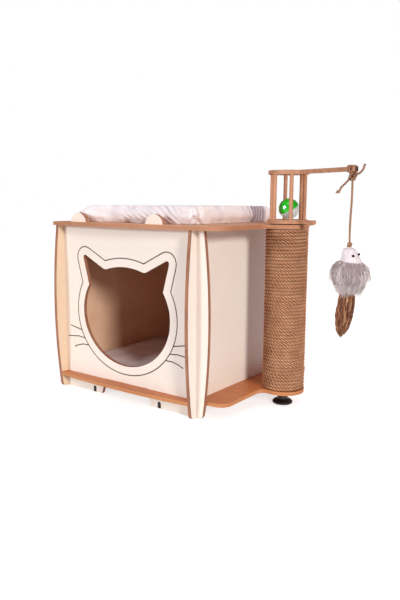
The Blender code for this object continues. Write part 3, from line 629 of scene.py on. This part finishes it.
# The small knot at the lower end's tip, as a swelling of its last points
TIP_KNOT = (1.1, 1.35, 1.6, 1.7, 1.6, 1.35, 1.1)


def route_length(route):
    return sum((b - a).length for a, b in zip(route, route[1:]))


def frayed(name, tip, way, body, seed):
    """A tuft of loose fibres at a cut end."""
    rng = random.Random(seed)
    routes = []
    side = way.orthogonal().normalized()
    other = way.cross(side)
    for _ in range(30):
        a = rng.uniform(0, 2 * math.pi)
        out = side * math.cos(a) + other * math.sin(a)
        root = tip - way * 1.5 * MM + out * rng.uniform(0.2, 1.3) * MM
        long = 3.2 * MM * rng.uniform(0.6, 1.1)
        lean = 0.45 * rng.uniform(0.2, 1.0)
        bend = Vector((0, 0, -1)) * rng.uniform(0, 0.3)
        routes.append([root + (way + out * lean * t + bend * t) * long * t
                       for t in (0, 0.35, 0.7, 1)])
    mesh = swept(name, routes, 0.22 * MM, 4, widths=[1, 1, 0.8, 0.3])
    settle(name, mesh, jute, body)


def string_path(places, turn=ARM_TURN):
    """A string's route through places on the knot's own axes, at a turn from X."""
    across = flat_way(turn + math.pi / 2)
    route = [KNOT + flat_way(turn) * x + across * y + Vector((0, 0, z)) for x, y, z in places]
    return evened(smooth_route(route, 8), STRING_STEP)


def knot_piece(name, centre, big, small, tall, radius, body, replaced):
    """A cord tied in a tight trefoil, its sizes in millimetres."""
    steps = 66
    middle = centre + Vector((0, 0, 0.8 * MM))
    route = []
    for i in range(steps + 1):
        t = 2 * math.pi * i / steps
        reach = big + small * math.cos(3 * t)
        loop = Vector((reach * math.cos(2 * t), reach * math.sin(2 * t) * 0.9,
                       tall * math.sin(3 * t)))
        route.append(middle + loop * MM)
    mesh = swept(name, [route], radius * MM, lay=11 * MM)
    return settle(name, mesh, jute, body, [replaced])


def make_lure_string():
    """The string from the arm's end down to the head, with a faint wave, and its two knots."""
    steps = 10
    wave = 0.8 * MM
    start = -2 * MM
    path = string_path([(wave * math.sin(2 * math.pi * i / steps), 0,
                         start - STRING_LENGTH * i / steps) for i in range(steps + 1)], LURE_TURN)
    mesh = swept("string", [path], STRING_RADIUS, lay=STRING_LAY)
    string = settle("string", mesh, jute, "lure", ["toy_string"])
    bead = knot_piece("string_end_knot", middle_of("toy_string_knot"), 2.6, 1.1, 3.0, 1.9,
                      "lure", "toy_string_knot")
    route_length(path)
    knot_piece("knot", KNOT, 4.2, 2.0, 5.6, 2.4, "lure_knot", "toy_knot")


def make_loose_end(name, places, node, far_end, seed):
    """A loose end of the string, cut bare or knotted near its tip, with frayed fibres."""
    path = string_path([Vector(place) * MM for place in places])
    widths = None
    if far_end == "knot":
        widths = [1.0] * (len(path) - len(TIP_KNOT)) + list(TIP_KNOT)
    mesh = swept(name, [path], STRING_RADIUS, lay=STRING_LAY, widths=widths)
    end = settle(name, mesh, jute, "cage", [node])
    frayed(name + "_fibres", path[-1], (path[-1] - path[-3]).normalized(), "cage", seed)
    route_length(path)


def make_wraps():
    """Two turns of string round the end of the arm."""
    turns = 2
    thin = 1.65 * MM
    half_width = 8 * MM
    arm_low, arm_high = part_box("cage_roof_arm")
    half_height = (arm_high.z - arm_low.z) / 2
    centre = middle_of("toy_loop") - ARM_WAY * 1.2 * MM
    centre.z = (arm_low.z + arm_high.z) / 2
    around = []
    for x, y, corner in ((1, 1, 0), (-1, 1, 90), (-1, -1, 180), (1, -1, 270)):
        for i in range(5):
            a = math.radians(corner + 22.5 * i)
            around.append((x * half_width + thin * math.cos(a),
                           y * half_height + thin * math.sin(a)))
    # The string starts under the arm
    first = 17
    around = around[first:] + around[:first]
    total = turns * len(around)
    route = []
    for i in range(total + 1):
        u, v = around[i % len(around)]
        shift = (i / total - 0.5) * 2.05 * thin * turns + 0.5 * MM * math.sin(i * 0.9)
        route.append(centre + ARM_WAY * shift + ARM_ACROSS * u + Vector((0, 0, v)))
    mesh = swept("arm_wraps", [evened(route, STRING_STEP)], thin, lay=12 * MM)
    settle("arm_wraps", mesh, jute, "cage", ["toy_loop"])


# Rope on the post

# The fourth colour is painted shade in the grooves between strands
sisal = rope_finish("sisal_rope", (214, 153, 112), (168, 106, 72), (255, 214, 174),
                    (92, 48, 28), (0.3, 1.0))

# The share of each turn that lies in front, and how steeply it climbs there beside the mean
FRONT_SHARE = 0.53
FRONT_SLOPE = 0.35
# Places on each turn where the rope's small unevenness is drawn
UNEVEN_STEPS = 5
ROPE_GAP = 0.3 * MM
# How far out on the rope each corner of a strand lies; the third is outermost
# The finish paints shade on the corners that lie deepest
STRAND_CROWN = (0.0, 0.7, 1.0, 0.7, 0.0, 0.0)


def climbed(wound):
    """How many pitches the rope has climbed after so many turns: slowly in front, faster behind."""
    whole = math.floor(wound)
    part = wound - whole
    if part < FRONT_SHARE:
        return whole + FRONT_SLOPE * part
    front = FRONT_SLOPE * FRONT_SHARE
    return whole + front + (part - FRONT_SHARE) * (1 - front) / (1 - FRONT_SHARE)


def between(values, place):
    """The value at a place that falls between two of the values."""
    k = int(place)
    return values[k] + (values[k + 1] - values[k]) * (place - k)


def twist(gone, turn, lay):
    """How many times the rope has turned about itself, a little unevenly."""
    return gone / lay + 0.16 * math.sin(1.3 * turn) + 0.08 * math.sin(2.9 * turn + 1)


def make_rope():
    """Three laid strands wound up the post as one long rope."""
    strand_radius = 1.66 * MM
    offset = 1.96 * MM
    rope_radius = offset + strand_radius
    lay = 20 * MM
    steps_in_lay = 7
    start = math.radians(-165)
    low = BASE_HIGH.z + ROPE_GAP + rope_radius
    high = DECK_LOW.z - ROPE_GAP - rope_radius
    # The rows press a little into each other
    row = 1.93 * rope_radius
    turns = round((high - low) / row) + FRONT_SHARE
    reach = TUBE_RADIUS + ROPE_GAP + rope_radius
    pitch = (high - low) / climbed(turns)
    length = turns * 2 * math.pi * reach
    count = int(length / lay * steps_in_lay)
    rng = random.Random(11)
    drawn = int(turns * UNEVEN_STEPS) + 3
    lifts = [rng.uniform(-0.13, 0.13) * MM for _ in range(drawn)]
    pushes = [rng.uniform(-0.15, 0.3) * MM for _ in range(drawn)]
    routes = [[] for _ in range(STRANDS)]
    tilts = [[] for _ in range(STRANDS)]
    for i in range(count + 1):
        gone = length * i / count
        turn = gone / reach
        wound = turn / (2 * math.pi)
        out = flat_way(start + turn)
        middle = out * (reach + between(pushes, wound * UNEVEN_STEPS))
        middle += Vector((POST.x, POST.y, low + pitch * climbed(wound)))
        middle.z += between(lifts, wound * UNEVEN_STEPS)
        for s in range(STRANDS):
            a = 2 * math.pi * (s / STRANDS - twist(gone, turn, lay))
            routes[s].append(middle + offset * (out * math.cos(a) + Vector((0, 0, math.sin(a)))))
            # A curve takes no tilt beyond sixty turns
            tilts[s].append(-a % (2 * math.pi))
    mesh = swept("post_rope_strands", routes, strand_radius, len(STRAND_CROWN), tilts=tilts)
    point_layer(mesh, "crown", itertools.cycle(STRAND_CROWN))
    settle("post_rope_strands", mesh, sisal, "house", ["post_rope"])


make_lure_string()
make_loose_end("upper_end", UPPER_END, "toy_end_upper", "bare", 4)
make_loose_end("lower_end", LOWER_END, "toy_end_lower", "knot", 3)
make_wraps()
make_rope()


# Toy mouse


def lock_template(widths):
    """A three-sided lock of hair on the origin, one unit long, with these widths up it."""
    bm = bmesh.new()
    bmesh.ops.create_circle(bm, segments=3, radius=0.75, cap_ends=False)
    edges = bm.edges[:]
    for width in widths:
        grown = bmesh.ops.extrude_edge_only(bm, edges=edges)["geom"]
        edges = [g for g in grown if isinstance(g, bmesh.types.BMEdge)]
        for v in (g for g in grown if isinstance(g, bmesh.types.BMVert)):
            way = v.co.xy.normalized() * width
            v.co = (way.x, way.y, v.co.z + 1 / len(widths))
    return as_mesh("lock", bm)


def make_locks(name, core, roots, widths, finish, replaced):
    """Fur on a core, a lock on every root: place, way out, length, width, droop and tone."""
    bm = bmesh.new()
    bm.from_mesh(core)
    started = len(bm.verts)
    template = lock_template(widths)
    count = len(template.vertices)
    # Each copy of the template adds its vertices after those of the one before
    for _ in roots:
        bm.from_mesh(template)
    bm.verts.ensure_lookup_table()
    shade = bm.verts.layers.float["shade"]
    for i, (place, way, long, wide, droop, tone) in enumerate(roots):
        side = way.cross(Vector((0, 0, 1)))
        if side.length < 0.05:
            side = way.cross(Vector((1, 0, 0)))
        side.normalize()
        flat = side.cross(way).normalized()
        for k in range(count):
            v = bm.verts[started + i * count + k]
            t = v.co.z
            along = way * t + droop * t * t
            lift = side * v.co.x * wide + flat * v.co.y * wide * 0.55
            # Painted shade: each lock darkens towards its root, where the fur shades itself
            v[shade] = tone + 0.25 * t
            v.co = place + along * long + lift
    bpy.data.meshes.remove(template)
    piece(name, bm, finish, "lure", [replaced])


def fur_finish(name, stops, sheen):
    """Fur whose mesh says in its shade attribute how pale each hair is, with painted shade at the
    roots.
    """
    finish = Finish(name, roughness=0.75, Sheen_Weight=sheen, Sheen_Roughness=0.4)
    place = finish.place()
    fine = finish.clouds(finish.scaled(place, 900, 900, 200), 1.0, 3.0)
    soft = finish.clouds(place, 60, 2.0)
    tone = finish.attribute("shade") * 0.6 + fine * 0.15 + soft * 0.25
    finish.colour(finish.ramp(tone, stops))
    finish.bump(fine, 0.0003, 0.5)
    return finish


plush = fur_finish("white_plush", [(0.1, tint(198, 188, 196)), (0.5, tint(234, 226, 230))], 0.2)
grey_fur = fur_finish("grey_fur", [(0.15, tint(120, 100, 100)), (0.42, tint(186, 170, 170)),
                                   (0.75, tint(232, 222, 222))], 0.35)
brown_fur = fur_finish("brown_fur", [(0.14, tint(46, 24, 16)), (0.42, tint(112, 64, 40)),
                                     (0.68, tint(164, 104, 68)), (0.9, tint(210, 162, 122))], 0.08)
bead_black = Finish("black_bead", roughness=0.3, Specular_IOR_Level=0.15)
bead_spots = bead_black.clouds(bead_black.place(), 400, 2.0)
bead_black.colour(bead_black.ramp(bead_spots, [(0.3, tint(6, 5, 6)), (0.7, tint(14, 11, 14))]))

HEAD_LOW, HEAD_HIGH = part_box("toy_head")
TAIL_LOW, TAIL_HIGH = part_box("toy_tail")
HEAD_RADIUS = (HEAD_HIGH.x - HEAD_LOW.x) / 2
HEAD_MIDDLE = middle_of("toy_head")
TOY_AXIS = Vector((HEAD_MIDDLE.x, HEAD_MIDDLE.y, 0))
HEAD_TALL = 29 * MM
CHIN = HEAD_HIGH.z - HEAD_TALL
EYES = (middle_of("toy_eye_left") + middle_of("toy_eye_right")) / 2
MUZZLE = ((EYES - HEAD_MIDDLE) * Vector((1, 1, 0))).normalized()
HEAD_LOCKS = 1500
BODY_LOCKS = 3400
TAIL_STRANDS = 460
# Widths of a lock from root to tip: of the head's short pile and of the body's long fur
PILE = (1.0, 0.6, 0.1)
FUR = (1.0, 0.85, 0.6, 0.3, 0.05)
# The fur's outline: radius, and height above the top of the head, in millimetres
FUR_LINE = ((12, -21), (25, -24), (36, -32), (41, -43), (39, -52), (36, -60), (33, -66),
            (28, -70), (18, -73))
# Widths of a strand of the tail, from root to tip
TAIL_STRAND = (0.9, 1, 1, 1, 1, 1, 1, 0.95, 0.9, 0.8, 0.65, 0.45, 0.15)


def jitter(rng, reach):
    """A small random push, up to reach along each axis."""
    return Vector([rng.uniform(-reach, reach) for _ in range(3)])


def in_order(elements, place):
    """Sorts a bmesh's vertices or faces by place, because a spin leaves them in any order."""
    ranks = {element: rank for rank, element in enumerate(sorted(elements, key=place))}
    elements.sort(key=ranks.get)


def turned_core(name, profile, steps, tone):
    """A closed form turned from (radius, height) pairs about the toy's axis, to stand locks on."""
    bm = bmesh.new()
    shade = bm.verts.layers.float.new("shade")
    rows = [bm.verts.new((HEAD_MIDDLE.x + reach, HEAD_MIDDLE.y, z)) for reach, z in profile]
    edges = [bm.edges.new(pair) for pair in zip(rows, rows[1:])]
    bmesh.ops.spin(bm, geom=rows + edges, cent=HEAD_MIDDLE, axis=(0, 0, 1), angle=2 * math.pi,
                   steps=steps, use_merge=True)
    bmesh.ops.remove_doubles(bm, verts=bm.verts, dist=1e-6)
    bmesh.ops.recalc_face_normals(bm, faces=bm.faces)
    in_order(bm.verts, lambda v: v.co[:])
    in_order(bm.faces, lambda f: f.calc_center_median()[:])
    for v in bm.verts:
        v[shade] = tone
    return as_mesh(name, bm)


def head_reach(z):
    """The head's radius at a height."""
    drop = min(max((HEAD_HIGH.z - z) / HEAD_TALL, 0.0), 1.0)
    return HEAD_RADIUS * min(0.6 + 0.7 * drop, 1.14) * min(1.0, (drop / 0.08) ** 0.5)


def nose_out(z):
    """How far the head swells towards the nose at a height."""
    return MUZZLE * 4.5 * MM * eased((HEAD_HIGH.z - z) / HEAD_TALL, 0.1, 0.8)


def make_head():
    """Plush over a rounded cone, with short pile."""
    rng = random.Random(5)
    steps = 14
    heights = [HEAD_HIGH.z - HEAD_TALL * (i / steps) ** 1.5 for i in range(steps + 1)]
    profile = [(0.93 * head_reach(z), z) for z in heights] + [(0.0, CHIN - 1 * MM)]
    core = turned_core("head_core", profile, 28, 0.55)
    for v in core.vertices:
        v.co += nose_out(v.co.z)
    roots = []
    for _ in range(HEAD_LOCKS):
        z = CHIN + HEAD_TALL * rng.random() ** 0.8
        out = flat_way(rng.uniform(0, 2 * math.pi))
        rise = 1.1 * (z - CHIN) / HEAD_TALL
        way = (out + Vector((0, 0, rise)) + jitter(rng, 0.5)).normalized()
        place = TOY_AXIS + Vector((0, 0, z)) + out * 0.9 * head_reach(z) + nose_out(z)
        roots.append((place, way, rng.uniform(2.0, 3.2) * MM, 0.45 * MM, Vector((0, 0, -0.35)),
                      rng.uniform(0.4, 0.8)))
    make_locks("head_plush", core, roots, PILE, plush, "toy_head")


def make_eye(side, rise):
    """A bead set out from the head and up by rise from where the plain model has it."""
    centre = middle_of(f"toy_eye_{side}")
    out = ((centre - HEAD_MIDDLE) * Vector((1, 1, 0))).normalized()
    place = Matrix.Translation(centre + out * 2.6 * MM + Vector((0, 0, rise)))
    bm = bmesh.new()
    bmesh.ops.create_icosphere(bm, subdivisions=3, radius=2.4 * MM, matrix=place)
    piece(f"eye_{side}", bm, bead_black, "lure", [f"toy_eye_{side}"])


def fur_point(s):
    """Radius and height on the fur's outline, s from 0 at the head to 1 below, and how it runs."""
    span = s * (len(FUR_LINE) - 1)
    k = min(int(span), len(FUR_LINE) - 2)
    (r0, z0), (r1, z1) = FUR_LINE[k], FUR_LINE[k + 1]
    t = span - k
    run = Vector((r1 - r0, z1 - z0)).normalized()
    return (r0 + (r1 - r0) * t) * MM, HEAD_HIGH.z + (z0 + (z1 - z0) * t) * MM, run


def make_body():
    """Long soft fur that falls from under the head in petal-like tufts."""
    rng = random.Random(21)
    rows = [fur_point(i / 12)[:2] for i in range(13)]
    profile = [(0.0, rows[0][1] + 1 * MM)]
    profile += [(0.8 * r, z) for r, z in rows]
    profile += [(0.0, rows[-1][1] + 1 * MM)]
    # Painted shade: the core under the fur is coloured dark
    core = turned_core("body_core", profile, 24, 0.1)
    count = 13
    # Each tuft: its direction, how far it reaches, and how much paler it is
    tufts = [(2 * math.pi * (i + rng.uniform(-0.3, 0.3)) / count, rng.uniform(0.86, 1.04),
              rng.uniform(-0.15, 0.15)) for i in range(count)]
    # One more, which reaches furthest
    tufts.append((math.radians(36), 1.12, 0.1))
    roots = []
    for _ in range(BODY_LOCKS):
        a, reach, tone = rng.choice(tufts)
        out = flat_way(a + rng.gauss(0, 0.15))
        s = 0.84 * rng.random() ** 0.9
        r, z, run = fur_point(s)
        place = TOY_AXIS + out * r * reach * rng.uniform(0.66, 0.84) + Vector((0, 0, z - 1 * MM))
        down = out * run.x + Vector((0, 0, run.y))
        off = out * -run.y + Vector((0, 0, run.x))
        way = (down + off * 0.14 + jitter(rng, 0.09)).normalized()
        long = rng.uniform(14, 21) * MM * reach * (1 - 0.25 * s)
        droop = Vector((0, 0, -0.6)) - out * 0.2
        roots.append((place, way, long, rng.uniform(0.45, 0.85) * MM, droop,
                      rng.uniform(0.15, 0.85) + tone))
    make_locks("body_fur", core, roots, FUR, grey_fur, "toy_body")


def tail_route(rng):
    """One wavy strand of the tail, from under the fur down."""
    out = flat_way(rng.uniform(0, 2 * math.pi))
    off = rng.random() ** 0.6
    start = rng.uniform(0.0, 0.16)
    stop = rng.uniform(0.8, 1.02) * (1.0 - 0.1 * off * off)
    wave = rng.uniform(0, 2 * math.pi)
    curl = rng.uniform(0.5, 1.6) * MM
    lean = flat_way(LURE_TURN + math.radians(232))
    steps = len(TAIL_STRAND) - 1
    route = []
    for k in range(steps + 1):
        t = start + (stop - start) * k / steps
        bulge = 0.78 + 0.16 * math.sin(math.pi * min(t + 0.1, 1)) - 0.42 * t ** 5
        here = TOY_AXIS + lean * 9.7 * MM * t ** 1.3 + out * 16.5 * MM * bulge * off
        sway = Vector((math.sin(wave + t * 17), math.cos(wave * 1.7 + t * 14), 0)) * curl
        here += sway * min(1, 3 * t)
        here.z = TAIL_HIGH.z - (TAIL_HIGH.z - TAIL_LOW.z) * t
        route.append(here)
    return route


def make_tail():
    """A brush of wavy brown strands."""
    rng = random.Random(31)
    routes = [tail_route(rng) for _ in range(TAIL_STRANDS)]
    mesh = swept("tail_brush", routes, 0.85 * MM, 4, widths=TAIL_STRAND)
    per = len(mesh.vertices) // len(routes)
    tones = [random.Random(r + 900).uniform(0.05, 1.1) for r in range(len(routes))]
    point_layer(mesh, "shade", (tone for tone in tones for _ in range(per)))
    settle("tail_brush", mesh, brown_fur, "lure", ["toy_tail"])


make_head()
make_eye("left", 3.9 * MM)
make_eye("right", 1.6 * MM)
make_body()
make_tail()


# Cushions

# The pad's size before it is filled, beside the CAD one
UNFILLED = (0.975, 0.975, 0.86)
SWELL_FRAMES = 20
# Within this much of the pad's top, whatever would rise past it is held back softly
SOFT_TOP = 3.5 * MM
# The slanting creases on the front: where they begin, how wide the stretch is, how far apart
CREASES_IN = 215 * MM
CREASES_FADE = (130 * MM, 190 * MM)
CREASE_PITCH = 8.5 * MM


def cloth_finish(name, light, shadow, stripe, back_edge, strength):
    """Fine woven cloth: pale, with faint wide stripes both ways and one dark band at its back."""
    finish = Finish(name, roughness=0.85, Sheen_Weight=0.3, Sheen_Roughness=0.45)
    place = finish.place()
    x, y, _ = finish.axes(place)
    blotch = finish.clouds(place, 16, 3.0)
    base = finish.ramp(blotch, [(0.3, shadow), (0.7, light)])
    wander = (finish.clouds(place, 30, 2.0) - 0.5) * 4 * MM
    across = back_edge - y + wander
    dark = across.band(69 * MM, 22 * MM, 2.5 * MM)
    line = across.band(103 * MM, 1.0 * MM, 1.5 * MM).most(across.band(98 * MM, 0.5 * MM, 1.2 * MM))
    wide = x.wave(96 * MM).rise(0.55, 0.9)
    deep = (y + wander).wave(88 * MM).rise(0.6, 0.92)
    threads = x.wave(2.2 * MM) * y.wave(2.2 * MM) * 0.5 + 0.5
    cords = across.wave(8.5 * MM) * 0.2 + 0.8
    mask = (dark * cords).most(line * 0.55).most((wide + deep) * 0.1 * strength)
    mask = mask * (0.8 + threads * 0.2)
    finish.colour(finish.mix(mask.least(1.0), base, stripe))
    nap = finish.clouds(place, 1500, 2.0)
    finish.bump(threads * 0.6 + nap * 0.4 + blotch * 0.5, 0.0002, 0.7)
    return finish


def merged_copy(node):
    """A CAD node's mesh with its loose triangles joined."""
    bm = bmesh.new()
    bm.from_mesh(nodes[node].data)
    bmesh.ops.remove_doubles(bm, verts=bm.verts, dist=1e-5)
    return bm


def voxels(mesh, size):
    """The mesh rebuilt in even faces."""
    holder = add_object("voxels", mesh)
    remesh = holder.modifiers.new("remesh", "REMESH")
    remesh.mode = "VOXEL"
    remesh.voxel_size = size
    even = as_drawn(holder)
    bpy.data.objects.remove(holder)
    return even


def filled_with_air(mesh, pressure, growth, cap):
    """The mesh as cloth that grows and swells, no point moving further than the cap."""
    holder = add_object("swelling", mesh)
    cloth = holder.modifiers.new("cloth", "CLOTH")
    cloth.settings.use_pressure = True
    cloth.settings.uniform_pressure_force = pressure
    cloth.settings.effector_weights.gravity = 0
    cloth.settings.shrink_min = -growth
    cloth.settings.tension_stiffness = 12
    cloth.settings.compression_stiffness = 12
    cloth.settings.bending_stiffness = 0.3
    for step in range(SWELL_FRAMES):
        scene.frame_set(step + 1)
    graph = bpy.context.evaluated_depsgraph_get()
    swollen = holder.evaluated_get(graph).data
    places = [v.co.copy() for v in swollen.vertices]
    scene.frame_set(1)
    bpy.data.objects.remove(holder)
    for vert, place in zip(mesh.vertices, places):
        move = place - vert.co
        if move.length > cap:
            move *= cap / move.length
        vert.co += move


def make_cushion(node, finish, shape):
    """The CAD pad as cloth full of wadding: swollen by simulation, then creased and set down."""
    low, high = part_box(node)
    bm = merged_copy(node)
    bmesh.ops.scale(bm, verts=bm.verts, vec=UNFILLED, space=Matrix.Translation(-middle_of(node)))
    mesh = voxels(as_mesh(node, bm), 4.6 * MM)
    filled_with_air(mesh, pressure=4.0, growth=0.05, cap=7 * MM)
    bm = bmesh.new()
    bm.from_mesh(mesh)
    bmesh.ops.smooth_vert(bm, verts=bm.verts, factor=0.35,
                          use_axis_x=True, use_axis_y=True, use_axis_z=True)
    bmesh.ops.subdivide_edges(bm, edges=bm.edges, cuts=1, use_grid_fill=True, smooth=0.6)
    bm.normal_update()
    moves = [shape(v.co, v.normal, low, high) for v in bm.verts]
    for v, move in zip(bm.verts, moves):
        v.co += move
        over = v.co.z - (high.z - SOFT_TOP)
        if over > 0:
            v.co.z -= over - SOFT_TOP * math.tanh(over / SOFT_TOP)
        v.co.z = max(v.co.z, low.z)
    made = piece(node + "_cloth", bm, finish, "house", [node])


def squared(place, low, high, gain):
    """Fills out the edges of a pad, and rounds its lower edge up off what it lies on."""
    middle = (low + high) / 2
    u = abs(place.x - middle.x) / (high.x - middle.x)
    v = abs(place.y - middle.y) / (high.y - middle.y)
    seam = low.z + 0.36 * (high.z - low.z)
    rim = max(eased(u, 0.8, 0.97), eased(v, 0.78, 0.97))
    rise = (place.z - seam) * gain * rim
    hem = max(eased(u, 0.955, 1.0), eased(v, 0.95, 1.0))
    return Vector((0, 0, rise + (4.5 * MM * hem if place.z < seam else 0.0)))


def bumpy(place, broad, fine, broad_size, fine_size, shift):
    """Dents in millimetres: broad ones with finer ones laid over them."""
    return (noise.noise(place * broad) * broad_size
            + noise.noise(place * fine + Vector(shift)) * fine_size) * MM


def top_shape(place, normal, low, high):
    """Slow dents, slanting creases low on the front, and a left end that lifts off the deck."""
    move = squared(place, low, high, 0.5 if place.x > low.x + 60 * MM else 0.25)
    up = place.z - low.z
    slow = bumpy(place, 11, 27, 2.0, 1.3, (3, 1, 7))
    move += normal * slow * (1 - 0.6 * eased(-normal.z, 0.2, 0.9))
    front = eased(-normal.y, 0.25, 0.7)
    if front > 0:
        start = high.x - CREASES_IN
        fade = [start + reach for reach in CREASES_FADE]
        window = eased(place.x, start, start + 20 * MM) * (1 - eased(place.x, *fade))
        bend = noise.noise(place * 45) * 3.4 * MM
        slant = 2 * math.pi * (up + 0.46 * (place.x - start) + bend) / CREASE_PITCH
        sharp = math.sin(slant) - 0.35 * math.sin(2 * slant)
        move += normal * front * window * sharp * 1.9 * MM * (1 - 0.5 * up / (high.z - low.z))
        level = math.sin(2 * math.pi * (up + bend + 0.1 * place.x) / (13 * MM))
        move += normal * front * (1 - window) * level * 0.7 * MM
    left = 1 - eased(place.x, low.x + 3 * MM, low.x + 34 * MM)
    move.z += left * 0.5 * max(high.z - 10 * MM - place.z, 0.0)
    return move


def floor_shape(place, normal, *_):
    """Dents and low folds all over."""
    slow = bumpy(place, 10, 31, 3.0, 1.4, (1, 5, 2))
    fold = math.sin(place.x * 60 + place.y * 25 + 2.5 * noise.noise(place * 14)) * 0.8 * MM
    return normal * (slow + fold) * (1 - 0.7 * eased(-normal.z, 0.2, 0.9))


top_cloth = cloth_finish("pale_cloth", tint(246, 239, 241), tint(236, 226, 229),
                         tint(126, 108, 124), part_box("top_cushion")[1].y, 1.0)
# Painted shade: the cushion inside the house is coloured darker than the top one, for the shade in
# there
floor_cloth_shaded = cloth_finish("pale_cloth_painted_shade", tint(228, 206, 206), tint(196, 170, 168),
                           tint(156, 132, 138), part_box("floor_cushion")[1].y, 1.6)
make_cushion("top_cushion", top_cloth, top_shape)
make_cushion("floor_cushion", floor_cloth_shaded, floor_shape)


# Floor and light


def make_stage():
    """A pale round floor that takes shadows, and that the camera sees as white."""
    bm = bmesh.new()
    bmesh.ops.create_circle(bm, cap_ends=True, segments=64, radius=8)
    bmesh.ops.translate(bm, verts=bm.verts, vec=(0, 0, -0.6 * MM))
    floor = add_object("floor", as_mesh("floor", bm))
    finish = Finish("floor", roughness=0.7, Specular_IOR_Level=0.2, Emission_Strength=0.7)
    speckle = finish.clouds(finish.place(), 30, 3.0)
    finish.colour(finish.ramp(speckle, [(0.3, tint(206, 206, 206)), (0.7, tint(212, 212, 212))]))
    seen = finish.ray("Camera", "Glossy", "Transmission")
    finish.set("Emission Color", finish.mix(seen, (0, 0, 0, 1), (1, 1, 1, 1)))
    floor.data.materials.append(finish.material)


def sun(name, azimuth, elevation, strength, angle, colour):
    """A lamp far off in the given direction, its angle the width of its disc, all in degrees."""
    made = bpy.data.lights.new(name, "SUN")
    made.energy = strength
    made.angle = math.radians(angle)
    made.color = colour
    rise = math.radians(elevation)
    way = flat_way(math.radians(azimuth)) * math.cos(rise) + Vector((0, 0, math.sin(rise)))
    lamp = add_object(name, made)
    lamp.rotation_euler = way.to_track_quat("Z", "Y").to_euler()
    return lamp


def pass_by(lamp, names):
    """Lets the lamp's light past slender pieces, whose shadows a wide soft light dissolves."""
    slender = bpy.data.collections.new("slender_pieces")
    for name in names:
        slender.objects.link(bpy.data.objects[name])
    lamp.light_linking.blocker_collection = slender
    for linked in slender.collection_objects:
        linked.light_linking.link_state = "EXCLUDE"


def light_scene():
    """A rosy even light from all round that the camera sees as white, and three lamps."""
    world = bpy.data.worlds.new("studio")
    world.use_nodes = True
    scene.world = world
    graph = Graph(world.node_tree)
    graph.tree.nodes.remove(graph.tree.nodes["Background"])
    light = graph.node("ShaderNodeBackground", None,
                       {"Color": (1.0, 0.74, 0.78, 1), "Strength": 0.32})
    shown = graph.node("ShaderNodeBackground", None, {"Color": (1, 1, 1, 1), "Strength": 1.0})
    seen = graph.ray("Camera", "Transmission")
    both = graph.node("ShaderNodeMixShader", None, {0: seen, 1: light, 2: shown})
    graph.feed(graph.tree.nodes["World Output"].inputs["Surface"], both)
    key = sun("key", -25, 18.5, 2.0, 13, (0.99, 1.0, 0.94))
    sun("front", -111, 12, 1.5, 13, (0.86, 0.97, 1.0))
    sun("top", -60, 78, 0.6, 40, (1.0, 0.98, 1.0))
    pass_by(key, DOWELS + ["cage_roof_arm", "ball_green_half", "ball_clear_half", "head_plush",
                           "body_fur", "tail_brush", "string"])
    scene.view_settings.view_transform = "Standard"


make_stage()
light_scene()
